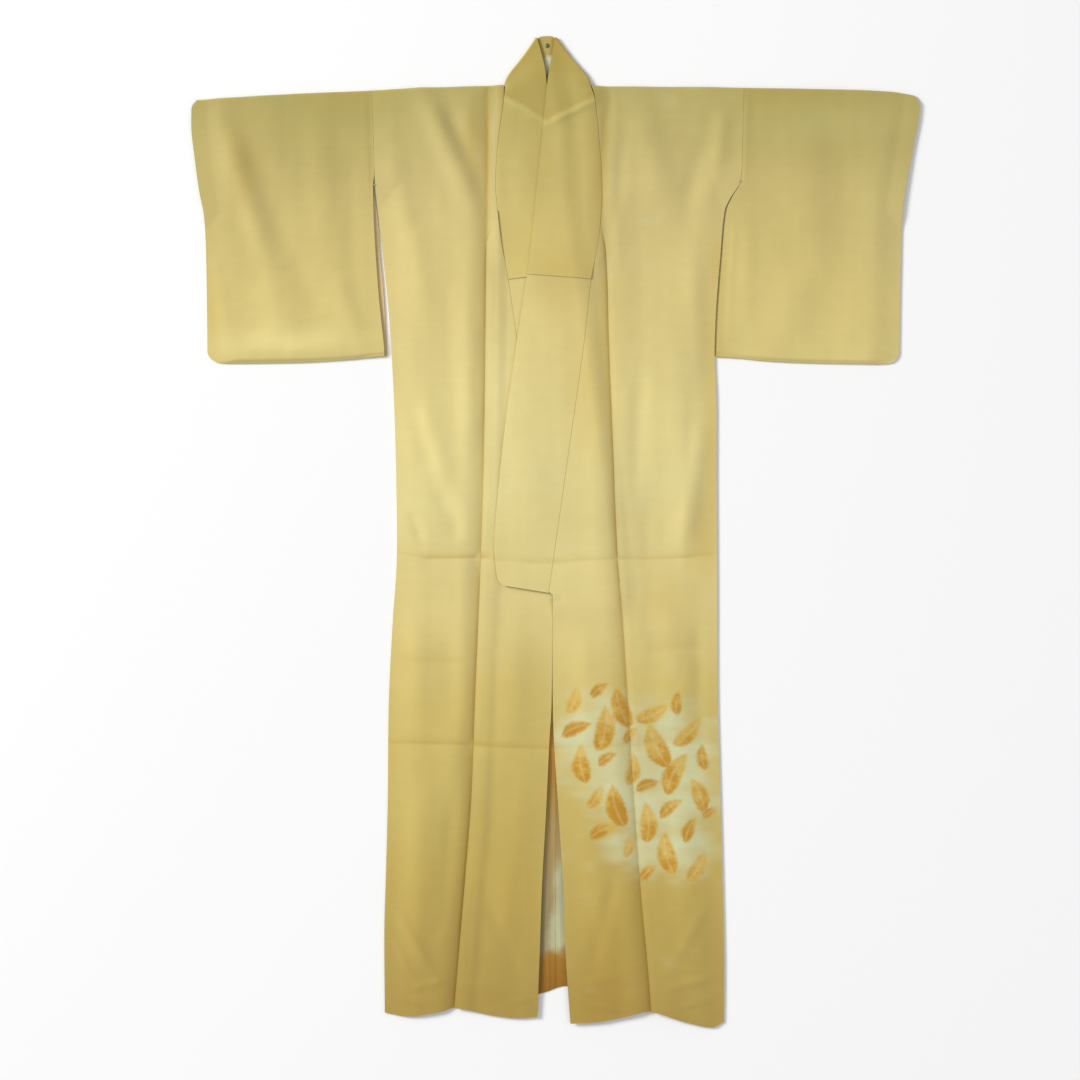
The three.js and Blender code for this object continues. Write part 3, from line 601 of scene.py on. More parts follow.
def front_inner(seam, crease, tuck, sign):
    """A body front ends at its tuck below the overlap panel's tip, at the collar above it."""

    def inner(y):
        gap = COLLAR_GAP + 1.2 * MM * smooth(y, 0.768, 0.792)
        return lerp(crease(y) + tuck, seam(y) - sign * gap,
                    smooth(y, KENSAKI_Y - 0.07, KENSAKI_Y - 0.004))

    return inner


def spaced(low, high, step, fine_at=(), fine_step=0.0015, reach=0.012):
    """Levels from low to high, closer together beside the places in fine_at."""
    levels = [low]
    while levels[-1] < high - step / 2:
        near = any(abs(levels[-1] - place) < reach for place in fine_at)
        levels.append(min(levels[-1] + (fine_step if near else step), high))
    levels[-1] = high
    return np.array(levels)


def columns(count, edge=0.35):
    """Places from 0 to 1 that lie closer together at both ends."""
    t = np.linspace(0, 1, count)
    return lerp(t, t * t * (3 - 2 * t), edge)


def always(value):
    """Edge or line that stays at one value."""
    return lambda place: value + 0 * place


def bent(level, x, bottom, top, low, high):
    """Height of a row that bends to the bottom line or the top line as it comes near them."""
    down = 1 - smooth(level, low, low + END_BLEND)
    up = smooth(level, high - END_BLEND, high)
    return level + (bottom(x) - low) * down + (top(x) - high) * up


def sheet_points(levels, across, left, right, bottom, top, height):
    """Grid of middle points of one sheet between its sides, from its bottom to its top line."""
    low, high = levels.min(), levels.max()
    level = levels[:, None]
    x = lerp(left(level), right(level), across[None, :])
    y = bent(level, x, bottom, top, low, high)
    return np.stack([x, y, height(x, y) + 0 * x], axis=-1)


def facing(grid, direction):
    return np.broadcast_to(np.asarray(direction, float), grid.shape)


def turn(upper, lower, sign):
    """Half turn from an upper row to a lower row, round an edge that faces along Y."""
    rows, outs = [], []
    for t in np.linspace(0, 1, TURN_STEPS + 1)[1:-1]:
        angle = math.pi * t
        radius = (upper[:, 2] - lower[:, 2]) / 2
        out = np.zeros_like(upper)
        out[:, 1], out[:, 2] = sign * math.sin(angle), math.cos(angle)
        middle = lerp(upper, lower, t)
        middle[:, 2] = lower[:, 2] + radius
        rows.append(middle + out * radius[:, None])
        outs.append(out)
    return np.array(rows), np.array(outs)


def wall(grid, outs, thickness, ring=False):
    """Vertices and quads of a closed wall round a grid of middle points."""
    rows, count = grid.shape[:2]
    vertices = np.concatenate([
        (grid + outs * thickness / 2).reshape(-1, 3), (grid - outs * thickness / 2).reshape(-1, 3)])
    index = np.arange(rows * count).reshape(rows, count)
    if ring:
        index = np.concatenate([index, index[:1]])
    a, b, c, d = index[:-1, :-1], index[:-1, 1:], index[1:, 1:], index[1:, :-1]
    layer = rows * count
    quads = [np.stack([a, b, c, d], -1).reshape(-1, 4),
             np.stack([a, d, c, b], -1).reshape(-1, 4) + layer]

    def rim(line, flip):
        p, q = line[:-1], line[1:]
        strip = np.stack([p, q, q + layer, p + layer], -1)
        quads.append(strip[:, ::-1] if flip else strip)

    rim(index[:, 0], False)
    rim(index[:, -1], True)
    if not ring:
        rim(index[0], True)
        rim(index[-1], False)
    return vertices, np.concatenate(quads)


def add_object(name, mesh):
    """Smooth object that rides with the garment."""
    mesh.polygons.foreach_set("use_smooth", np.ones(len(mesh.polygons), bool))
    piece = bpy.data.objects.new(name, mesh)
    bpy.context.scene.collection.objects.link(piece)
    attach(piece, "root")
    return piece


def add_piece(name, vertices, faces, material, node, smooth_below):
    """Object that stands for a node, with edges that are sharp from an angle in degrees on."""
    mesh = bpy.data.meshes.new(name)
    mesh.from_pydata(vertices, [], faces)
    mesh.materials.append(material)
    piece = add_object(name, mesh)
    mesh.set_sharp_from_angle(angle=math.radians(smooth_below))
    mesh.update()
    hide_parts(node)
    return piece


# Outer surface points of each cloth piece, row by row, for what is sewn on it
SURFACES = {}


def add_cloth(name, grid, outs, thickness, material, ring=False, flip=False):
    """Cloth piece from its grid, standing for the node of its name."""
    SURFACES[name] = grid + outs * thickness / 2
    if flip:
        grid, outs = grid[:, ::-1], outs[:, ::-1]
    vertices, quads = wall(grid, outs, thickness, ring)
    piece = add_piece(
        f"{name}_silk", vertices.tolist(), quads.tolist(), material, name, CLOTH_SMOOTH_BELOW)
    return piece


def body_panel(name, side, inner, hem, centre, layers, sign, material, on_top=None):
    """One body length: front, over the shoulder, back."""
    bottom, back_bottom = curve(hem), curve(HEM_BACK)

    def front_z(x, y):
        roll = np.maximum(smooth(np.abs(x - side(y)), -0.010, 0.062), smooth(y, 0.56, 0.64))
        return lerp(RIM_HEIGHT, front_height(x, y, layers(x, y), on_top), roll)

    across = columns(BODY_COLUMNS)
    levels = spaced(HEM_LEVEL, SHOULDER_LEVEL, bpy.context.scene.kimono.grid_step, CREASE_LEVELS)
    front = sheet_points(levels, across, side, inner, bottom, shoulder, front_z)
    back_levels = np.array([*spaced(HEM_LEVEL, 0.74, BACK_STEP),
                            *spaced(0.745, SHOULDER_LEVEL, BACK_NECK_STEP)])
    back = sheet_points(back_levels[::-1], across, side, centre, back_bottom, shoulder,
                        lambda x, y: BACK_HEIGHT)
    round_rows, round_outs = turn(front[-1], back[0], 1)
    grid = np.concatenate([front, round_rows, back])
    outs = np.concatenate([facing(front, UP), round_outs, facing(back, -UP)])
    piece = add_cloth(name, grid, outs, CLOTH, material, flip=sign < 0)
    light_and_shade_attributes(piece, on_top)
    return piece


def collar_stretch(rows, seam_point, count, across, height, out, bows):
    """Rows of the collar along one stretch, from its seam edge to its free edge. At its first
    and last row it bows out by the two parts of NECK_BOW in bows."""
    station = np.r_[0, np.cumsum(np.hypot(*np.diff(rows[:, 1:], axis=0).T) + 1e-9)]
    at = np.linspace(0, station[-1], count)
    key = curve(np.c_[station, rows[:, 0]])(at)
    free = np.c_[curve(np.c_[station, rows[:, 1]])(at), curve(np.c_[station, rows[:, 2]])(at)]
    seam = np.stack(seam_point(key), axis=-1)
    flat = lerp(seam[:, None, :], free[:, None, :], across[None, :, None])
    row = (free - seam) / np.linalg.norm(free - seam, axis=1)[:, None]
    part = bows[0] * (1 - smooth(at, 0, BOW_REACH))
    part = part + bows[1] * smooth(at, at[-1] - BOW_REACH, at[-1])
    side = np.stack([-row[:, 1], row[:, 0]], axis=-1) * part[:, None]
    flat = flat + NECK_BOW * side[:, None, :] * np.sin(math.pi * (1 - across) ** 3)[None, :, None]
    x, y = flat[..., 0], flat[..., 1]
    z = height(x, y) + 0 * x
    if out[2] > 0:
        crown = COLLAR_CROWN * np.sin(math.pi * across)[None, :]
        near = abs(bows[0]) * (1 - smooth(at, 0, TURN_REACH))
        near = near + abs(bows[1]) * smooth(at, at[-1] - TURN_REACH, at[-1])
        z = lerp(z + crown, TURN_HEIGHT, near[:, None])
    grid = np.stack([x, y, z], axis=-1)
    return grid, facing(grid, out)


def collar_turn(upper, lower, sign):
    """Half turn of the collar at a shoulder point, round the line across it."""
    along = (upper[-1] - upper[0])[:2]
    along = along / np.linalg.norm(along)
    outward = np.array([along[1], -along[0], 0.0]) * sign
    rows, outs = [], []
    for t in np.linspace(0, 1, TURN_STEPS + 1)[1:-1]:
        angle = math.pi * t
        radius = (upper[:, 2] - lower[:, 2]) / 2
        across, up = outward * math.sin(angle), UP * math.cos(angle)
        middle = upper.copy()
        middle[:, 2] = upper[:, 2] - radius
        spread = np.minimum(radius, TURN_SPREAD)
        rows.append(middle + across * spread[:, None] + up * radius[:, None])
        outs.append(np.broadcast_to(across + up, upper.shape))
    return np.array(rows), np.array(outs)


def collar_band():
    """Middle points and outward directions of the whole main collar."""
    across = columns(COLLAR_COLUMNS)
    under, under_out = collar_stretch(
        COLLAR_UNDER, lambda y: (seam_right(y), y), COLLAR_ROWS, across,
        lambda x, y: front_height(x, y, 0), UP, (0, 1))
    back, back_out = collar_stretch(
        COLLAR_BACK, lambda x: (x, neckline(x) + NECK_GAP), NECK_ROWS, across,
        lambda x, y: BACK_HEIGHT + PITCH, -UP, (1, -1))
    top, top_out = collar_stretch(
        COLLAR_TOP, lambda y: (seam_left(y), y), COLLAR_ROWS, across,
        lambda x, y: front_height(x, y, layers_under_left(x, y)), UP, (-1, 0))
    first, first_out = collar_turn(under[-1], back[0], -1)
    last, last_out = collar_turn(top[0], back[-1], 1)
    grid = np.concatenate([under, first, back, last[::-1], top])
    return grid, np.concatenate([under_out, first_out, back_out, last_out[::-1], top_out])


def feed(tree, socket, value):
    """Links a socket to another node's output, or sets it to a plain value."""
    if isinstance(value, bpy.types.NodeSocket):
        tree.links.new(value, socket)
    else:
        socket.default_value = value


def add_node(tree, kind, links=None, **settings):
    """Node with its settings, and its inputs linked or set by name or number."""
    node = tree.nodes.new(kind)
    for key, value in settings.items():
        setattr(node, key, value)
    for key, value in (links or {}).items():
        feed(tree, node.inputs[key], value)
    return node


def math_node(tree, operation, a, b=0.0, c=0.0):
    return add_node(tree, "ShaderNodeMath", {0: a, 1: b, 2: c}, operation=operation).outputs[0]


def ramp(tree, value, low, high, to_low=0.0, to_high=1.0):
    node = add_node(tree, "ShaderNodeMapRange", {"Value": value, "From Min": low, "From Max": high,
                                                 "To Min": to_low, "To Max": to_high})
    node.interpolation_type = "SMOOTHSTEP"
    return node.outputs["Result"]


def mixed(tree, factor, a, b, blend="MIX"):
    node = add_node(tree, "ShaderNodeMix", data_type="RGBA", blend_type=blend)
    for number, value in ((0, factor), (6, a), (7, b)):
        feed(tree, node.inputs[number], value)
    return node.outputs[2]


def shaded(tree, colour, shade):
    """Colour times a grey value."""
    grey = add_node(tree, "ShaderNodeCombineColor", {0: shade, 1: shade, 2: shade}).outputs[0]
    return mixed(tree, 1.0, colour, grey, "MULTIPLY")


def object_place(tree):
    return add_node(tree, "ShaderNodeTexCoord").outputs["Object"]


def noise(tree, place, scale, detail, roughness=0.5):
    return add_node(tree, "ShaderNodeTexNoise", {
        "Vector": place, "Scale": scale, "Detail": detail, "Roughness": roughness}).outputs["Fac"]


def swayed(tree, value, reach):
    """Noise spread evenly to both sides of nought, as far as reach."""
    return ramp(tree, value, 0.3, 0.7, -reach, reach)


def stretched(tree, place, scale):
    return add_node(tree, "ShaderNodeMapping", {"Vector": place, "Scale": scale}).outputs[0]


def attribute(tree, name):
    return add_node(tree, "ShaderNodeAttribute", attribute_name=name).outputs["Fac"]


def linear(colour):
    """Screen colour from 0 to 255 as the linear colour of a shader."""
    parts = np.array(colour, float) / 255
    out = np.where(parts <= 0.04045, parts / 12.92, ((parts + 0.055) / 1.055) ** 2.4)
    return (*out.tolist(), 1.0)


def crepe_group():
    """Silk crepe: fine uneven twist of the threads, slubs and a soft cloudiness."""
    tree = bpy.data.node_groups.new("Silk crepe", "ShaderNodeTree")
    face = tree.interface
    face.new_socket("Grain", in_out="INPUT", socket_type="NodeSocketFloat").default_value = 1.0
    face.new_socket("Shade", in_out="OUTPUT", socket_type="NodeSocketFloat")
    face.new_socket("Height", in_out="OUTPUT", socket_type="NodeSocketFloat")
    start, end = tree.nodes.new("NodeGroupInput"), tree.nodes.new("NodeGroupOutput")
    place = object_place(tree)
    weft = stretched(tree, place, (1.0, 3.2, 1.0))
    fine = noise(tree, weft, 420.0, 2.0, 0.6)
    slub = noise(tree, weft, 26.0, 3.0, 0.55)
    cloudy = noise(tree, place, 4.5, 2.0)
    bands = noise(tree, stretched(tree, place, (34.0, 1.1, 34.0)), 1.0, 2.0)
    shade = math_node(tree, "MULTIPLY_ADD", fine, 0.08, 0.96)
    for uneven, reach in ((bands, 0.016), (slub, 0.012), (cloudy, 0.02)):
        shade = math_node(tree, "ADD", shade, swayed(tree, uneven, reach))
    height = math_node(tree, "MULTIPLY", fine, start.outputs["Grain"])
    height = math_node(tree, "MULTIPLY_ADD", slub, 0.15, height)
    tree.links.new(shade, end.inputs["Shade"])
    tree.links.new(height, end.inputs["Height"])
    return tree


def dye_and_falloff_group(colour):
    """Colour of the outer silk: fullest at mid height, deeper to the shoulders and the hem, mostly
    painted shade of the light's falloff and partly a deeper dye.
    """
    tree = bpy.data.node_groups.new("Silk dye", "ShaderNodeTree")
    tree.interface.new_socket("Tint", in_out="INPUT", socket_type="NodeSocketColor")
    tree.interface.new_socket("Dye", in_out="OUTPUT", socket_type="NodeSocketColor")
    start, end = tree.nodes.new("NodeGroupInput"), tree.nodes.new("NodeGroupOutput")
    place = object_place(tree)
    y = add_node(tree, "ShaderNodeSeparateXYZ", {0: place}).outputs[1]
    y = math_node(tree, "ADD", y, swayed(tree, noise(tree, place, 3.0, 1.0), 0.05))
    # Colour by height: mostly painted shade of the light's falloff, partly a deeper dye
    dye = graded(tree, y, [(at, tuple(np.array(colour) * part)) for at, part in DYE_AND_FALLOFF_STOPS])
    tree.links.new(mixed(tree, 1.0, dye, start.outputs["Tint"], "MULTIPLY"), end.inputs["Dye"])
    return tree


def graded(tree, value, stops):
    """Colour that follows a value through stops of value and screen colour."""
    low, high = stops[0][0], stops[-1][0]
    place = add_node(tree, "ShaderNodeMapRange", {"Value": value, "From Min": low, "From Max": high})
    node = add_node(tree, "ShaderNodeValToRGB", {0: place.outputs["Result"]})
    points = node.color_ramp.elements
    while len(points) < len(stops):
        points.new(0.5)
    for point, (at, colour) in zip(points, stops):
        point.position = (at - low) / (high - low)
        point.color = linear(colour)
    return node.outputs[0]


def silk_material(name, crepe, dye, roughness=SILK_ROUGHNESS, print_colours=None):
    """Crepe silk over a dye, with painted shade and painted light from the piece's attributes, with or
    without the painted leaves.
    """
    material = bpy.data.materials.new(name)
    material.use_nodes = True
    tree = material.node_tree
    shader = tree.nodes["Principled BSDF"]
    crepe = add_node(tree, "ShaderNodeGroup", node_tree=crepe)
    base = dye(tree)
    # Painted shade, then painted light, mixed in by the piece's attributes
    painted_dark = mixed(tree, 1.0, base, PAINTED_SHADE_TINT, "MULTIPLY")
    base = mixed(tree, attribute(tree, "fold_wear"), base, painted_dark)
    pale = mixed(tree, 1.0, base, FOLD_LIGHT, "MULTIPLY")
    base = mixed(tree, attribute(tree, "fold_light"), base, pale)
    base = mixed(tree, attribute(tree, "pale_inside"), base, linear(PALE_INSIDE))
    if print_colours:
        base = painted_leaves(tree, base, *print_colours)
    tree.links.new(shaded(tree, base, crepe.outputs["Shade"]), shader.inputs["Base Color"])
    rough = ramp(tree, crepe.outputs["Height"], 0.6, 1.3, roughness - 0.05, roughness + 0.06)
    tree.links.new(rough, shader.inputs["Roughness"])
    for finish, value in SILK_FINISH.items():
        shader.inputs[finish].default_value = value
    bump = add_node(tree, "ShaderNodeBump", {"Height": crepe.outputs["Height"], "Strength": 0.22,
                                             "Distance": 0.0004})
    tree.links.new(bump.outputs[0], shader.inputs["Normal"])
    return material


def painted_leaves(tree, base, mist_colour, leaf_colour, deep_colour):
    """Mist of pale dye with leaves on it, from the piece's own attributes."""
    place = object_place(tree)
    brush = noise(tree, place, 210.0, 4.0)
    mist = mixed(tree, attribute(tree, "mist"), base, linear(mist_colour))
    bled = math_node(tree, "ADD", attribute(tree, "leaf"), swayed(tree, brush, 0.0016))
    inside = ramp(tree, bled, 0.0030, -0.0055)
    depth = attribute(tree, "leaf_tone")
    for uneven, reach in ((noise(tree, place, 60.0, 3.0), 0.28), (brush, 0.12)):
        depth = math_node(tree, "ADD", depth, swayed(tree, uneven, reach))
    tone = mixed(tree, ramp(tree, depth, 0.0, 1.0), linear(leaf_colour), linear(deep_colour))
    rib = math_node(tree, "ABSOLUTE", attribute(tree, "rib"))
    tone = mixed(tree, ramp(tree, rib, 0.0036, 0.0004, 0.0, 0.2), tone, linear(mist_colour))
    cover = ramp(tree, depth, -0.2, 0.9, 0.68, 0.96)
    return mixed(tree, math_node(tree, "MULTIPLY", inside, cover), mist, tone)


def skirt_dye_and_shadow(tree):
    """Lining: painted shadow, brown, on the right and along the top, cast by the right front; mint dye
    on the left; rust dye along the hem with streaks.
    """
    place = object_place(tree)
    parts = add_node(tree, "ShaderNodeSeparateXYZ", {0: place})
    x, y = parts.outputs[0], parts.outputs[1]
    wander = swayed(tree, noise(tree, place, 22.0, 3.0), 0.004)
    in_shadow, mint, rust = (graded(tree, y, stops) for stops in (LINING_SHADOW, LINING_MINT, LINING_RUST))
    # Edge between the painted shadow and the mint dye, slanting with height
    side = math_node(tree, "ADD", math_node(tree, "MULTIPLY_ADD", y, -0.09, -0.054), wander)
    ground = mixed(tree, ramp(tree, math_node(tree, "ADD", x, side), -0.008, 0.014), in_shadow, mint)
    edge = math_node(tree, "ADD", y, math_node(tree, "MULTIPLY", wander, 2.5))
    dye = mixed(tree, ramp(tree, edge, -0.764, -0.732), rust, ground)
    streak = noise(tree, stretched(tree, place, (110, 4, 1)), 1.0, 2.0)
    return shaded(tree, dye, ramp(tree, streak, 0.4, 0.7, 1.0, 0.8))


def snap_material():
    """Spotted, dull metal of the snap."""
    material = bpy.data.materials.new("snap_steel")
    material.use_nodes = True
    tree = material.node_tree
    shader = tree.nodes["Principled BSDF"]
    shader.inputs["Metallic"].default_value = 0.9
    spots = noise(tree, object_place(tree), 900.0, 2.0)
    tint = mixed(tree, spots, linear(SNAP_DARK), linear(SNAP_PALE))
    tree.links.new(tint, shader.inputs["Base Color"])
    tree.links.new(ramp(tree, spots, 0.3, 0.7, 0.3, 0.5), shader.inputs["Roughness"])


def mesh_places(piece):
    points = np.empty(len(piece.data.vertices) * 3)
    piece.data.vertices.foreach_get("co", points)
    return points.reshape(-1, 3).T


def add_attribute(piece, name, values):
    piece.data.attributes.new(name, "FLOAT", "POINT").data.foreach_set("value", values)


def light_and_shade_attributes(piece, on_top=None):
    """Painted shade beside the folds and in the hollows by the collar, and painted light and shade of
    the patches, at every vertex of the piece's front.
    """
    x, y, z = mesh_places(piece)
    from_collar = np.minimum(np.abs(x - seam_right(y)), np.abs(x - seam_left(y)))
    # Painted shade in the hollows beside the collar at the shoulders
    hollow = 0.9 * np.exp(-from_collar / 0.009) * smooth(y, 0.745, 0.782)
    # Painted light above 0 and painted shade below 0, from the patches
    tone = patch_light_and_shade(x, y)
    painted_dark = np.maximum(fold_wear(x, y, on_top), hollow) + np.maximum(-tone, 0)
    add_attribute(piece, "fold_wear", painted_dark * (z > FRONT_FROM))
    add_attribute(piece, "fold_light", np.maximum(tone, 0) * (z > FRONT_FROM))


def collar_attributes(piece):
    """Painted shade and painted light of the collar's front, painted shade along the folds inside the
    back of the neck, and the pale cloth there.
    """
    x, y, z = mesh_places(piece)
    front = z > COLLAR_FRONT_FROM
    # Painted light above 0 and painted shade below 0, from the patches
    tone = patch_light_and_shade(x, y)
    # Painted shade beside the folds, above the V at the neck and on the darker patches
    painted_dark = np.maximum(fold_wear(x, y, None), neck_painted_shade(x, y)) + np.maximum(-tone, 0)
    add_attribute(piece, "fold_wear", np.where(front, painted_dark, inner_painted_shade(x, y)))
    add_attribute(piece, "fold_light", np.maximum(neck_light(x, y), tone) * front)
    inside = smooth(y, 0.812, 0.824) * (1 - smooth(y, 0.842, 0.852)) * smooth(x, -0.021, -0.016)
    add_attribute(piece, "pale_inside", inside * ~front)


def paint_attributes(piece):
    """Leaf outline, leaf midrib, leaf tone and mist at every vertex of a painted panel."""
    x, y, _ = mesh_places(piece)
    leaf, rib, tone = np.full(len(x), FAR), np.full(len(x), FAR), np.zeros(len(x))
    for cx, cy, length, width, angle, shade in LEAVES:
        turned = math.radians(angle)
        dx, dy = x - cx * MM, y - cy * MM
        u = dx * math.cos(turned) + dy * math.sin(turned)
        v = -dx * math.sin(turned) + dy * math.cos(turned)
        half, fat = length * MM / 2, width * MM / 2
        v = v - LEAF_BEND * half * (1 - (u / half) ** 2) * (1 if shade > 0.45 else -1)
        s = clamp((u / half + 1) / 2)
        swell = fat * s ** 0.6 * (1 - s) ** 0.85 / LEAF_SWELL
        away = np.where(np.abs(u) < half, np.abs(v) - swell, np.hypot(np.abs(u) - half, v))
        nearer = away < leaf
        leaf = np.where(nearer, away, leaf)
        rib = np.where(nearer, np.where(s < RIB_END, v, FAR), rib)
        tone = np.where(nearer, 0.85 * shade + 0.8 * (0.55 - s), tone)
    mist = sum(np.exp(-(((x - a) / w) ** 2 + ((y - b) / h) ** 2) * 1.1) for a, b, w, h in MIST)
    wisps = 0.34 * cloth_noise(x, y, 0.05, 0.024, 21) + 0.2 * cloth_noise(x, y, 0.021, 0.012, 22)
    mist = smooth(mist + 1.5 * wisps, 0.15, 2.3) * MIST_COVER
    for name, values in (("leaf", leaf), ("rib", rib), ("leaf_tone", tone), ("mist", mist)):
        add_attribute(piece, name, values)


class KimonoSizes(bpy.types.PropertyGroup):
    """Sizes and colours of the laid kimono that a user would change."""
    fullness: FloatProperty(
        name="Fullness", description="Usual clear height of the fronts over the back",
        default=4.0 * MM, min=0.5 * MM, max=5 * MM, unit="LENGTH", precision=4)
    fold_scale: FloatProperty(
        name="Fold height", description="Factor on the rise of the soft folds",
        default=1.0, min=0.0, max=1.3)
    slack: FloatProperty(
        name="Slack", description="Height of the uneven slack between the folds",
        default=1.0 * MM, min=0.0, max=2 * MM, unit="LENGTH", precision=4)
    grid_step: FloatProperty(
        name="Grid step", description="Distance between the rows of the cloth meshes",
        default=4.2 * MM, min=3 * MM, max=20 * MM, unit="LENGTH", precision=4)
    stitch_spacing: FloatProperty(
        name="Stitch spacing", description="Distance between the stitches at the collar's ends",
        default=5.5 * MM, min=3 * MM, max=12 * MM, unit="LENGTH", precision=4)
    silk: FloatVectorProperty(
        name="Silk", description="Dye of the outer silk", subtype="COLOR_GAMMA",
        default=(0.835, 0.78, 0.529), size=3, min=0, max=1)
    mist: FloatVectorProperty(
        name="Mist", description="Pale dye of the painted mist", subtype="COLOR_GAMMA",
        default=(0.79, 0.81, 0.65), size=3, min=0, max=1)
    leaf: FloatVectorProperty(
        name="Leaf", description="Lighter dye of the leaves", subtype="COLOR_GAMMA",
        default=(0.80, 0.645, 0.235), size=3, min=0, max=1)


class PieceOperator:
    """Shared part of the operators that build a piece."""
    bl_options = {"REGISTER", "UNDO"}

    @staticmethod
    def materials():
        """Materials of the garment, made once."""
        found = {material.name: material for material in bpy.data.materials}
        if "outer_crepe" in found:
            return found
        sizes = bpy.context.scene.kimono
        crepe = crepe_group()
        silk, mist, leaf = (tuple(255 * v for v in c) for c in (sizes.silk, sizes.mist, sizes.leaf))
        dye = dye_and_falloff_group(silk)

        # The outer silk's colour times a tint; the sleeves' and the over-collar's tints are painted
        # shade
        def outer(tint):
            return lambda tree: add_node(
                tree, "ShaderNodeGroup", {"Tint": (*tint, 1)}, node_tree=dye).outputs["Dye"]

        painted = (mist, leaf, DEEP_LEAF)
        silk_material("outer_crepe", crepe, outer((1, 1, 1)))
        silk_material("painted_crepe", crepe, outer((1, 1, 1)), print_colours=painted)
        silk_material("sleeve_crepe", crepe, outer(SLEEVE_SHADE))
        silk_material("over_collar_crepe", crepe, outer(OVER_COLLAR_SHADE))
        silk_material("skirt_lining_silk", crepe, skirt_dye_and_shadow, roughness=LINING_ROUGHNESS)
        silk_material("sleeve_lining_silk", crepe, lambda tree: linear(SLEEVE_LINING),
                      roughness=LINING_ROUGHNESS)
        snap_material()
        return {material.name: material for material in bpy.data.materials}


class KIMONO_OT_body(PieceOperator, bpy.types.Operator):
    """Both body lengths, each from the front hem over the shoulder to the back hem"""
    bl_idname = "kimono.body"
    bl_label = "Body lengths"

    def execute(self, context):
        materials = self.materials()
        body_panel(
            "body_right", side_right, front_inner(seam_right, crease_right, TUCK, 1), HEM_RIGHT,
            centre_edge(-1, NECK_RIGHT_X), beside_collar, 1, materials["outer_crepe"])

        def layers(x, y):
            lap = 1 - smooth(y, KENSAKI_Y + 0.005, KENSAKI_Y + 0.06)
            tuck_end = crease_left(y) + TUCK
            fold = 1 - smooth(x, tuck_end + TUCK_CLEAR, tuck_end + 0.05)
            return layers_under_left(x, y) + lap * fold + beside_collar(x, y)

        piece = body_panel(
            "body_left", side_left, front_inner(seam_left, crease_left, 0.0, -1), HEM_LEFT,
            centre_edge(1, NECK_LEFT_X), layers, -1, materials["painted_crepe"],
            crease_left)
        paint_attributes(piece)
        return {"FINISHED"}


class KIMONO_OT_okumi(PieceOperator, bpy.types.Operator):
    """Both front overlap panels, from their hems to their upper tips"""
    bl_idname = "kimono.okumi"
    bl_label = "Overlap panels"

    def execute(self, context):
        materials = self.materials()
        step = context.scene.kimono.grid_step
        levels = spaced(HEM_LEVEL, KENSAKI_Y, step, CREASE_LEVELS)
        across = columns(OKUMI_COLUMNS)

        def over_tuck(x, y):
            tuck_end = crease_right(y) + TUCK
            return 1 - smooth(x, tuck_end + TUCK_CLEAR, tuck_end + 0.026)

        sides = (
            ("okumi_right", crease_right, 0.0, seam_right, edge_right, -1, HEM_RIGHT, over_tuck,
             "outer_crepe", ("body_right_silk",)),
            ("okumi_left", crease_left, TUCK, seam_left, edge_left, 1, HEM_LEFT, layers_under_left,
             "painted_crepe", ("collar_silk", "body_left_silk")),
        )
        for name, outer, tuck, seam, edge, sign, hem, layers, material, rests_on in sides:
            on_top = crease_right if sign < 0 else None

            def inner(y):
                return np.where(y > COLLAR_END_Y - 0.010, seam(y) + sign * COLLAR_GAP, edge(y))

            def tip(y):
                rise = clamp((y - KENSAKI_Y + TIP_LENGTH) / TIP_LENGTH)
                return lerp(outer(y) + tuck, seam(y) + sign * TIP_WIDTH, rise)

            grid = sheet_points(
                levels, across, tip, inner, curve(hem), always(KENSAKI_Y),
                lambda x, y: front_height(x, y, layers(x, y) + beside_collar(x, y), on_top))
            piece = add_cloth(name, grid, facing(grid, UP), CLOTH, materials[material],
                              flip=sign > 0)
            light_and_shade_attributes(piece, on_top)
            if material == "painted_crepe":
                paint_attributes(piece)
        return {"FINISHED"}


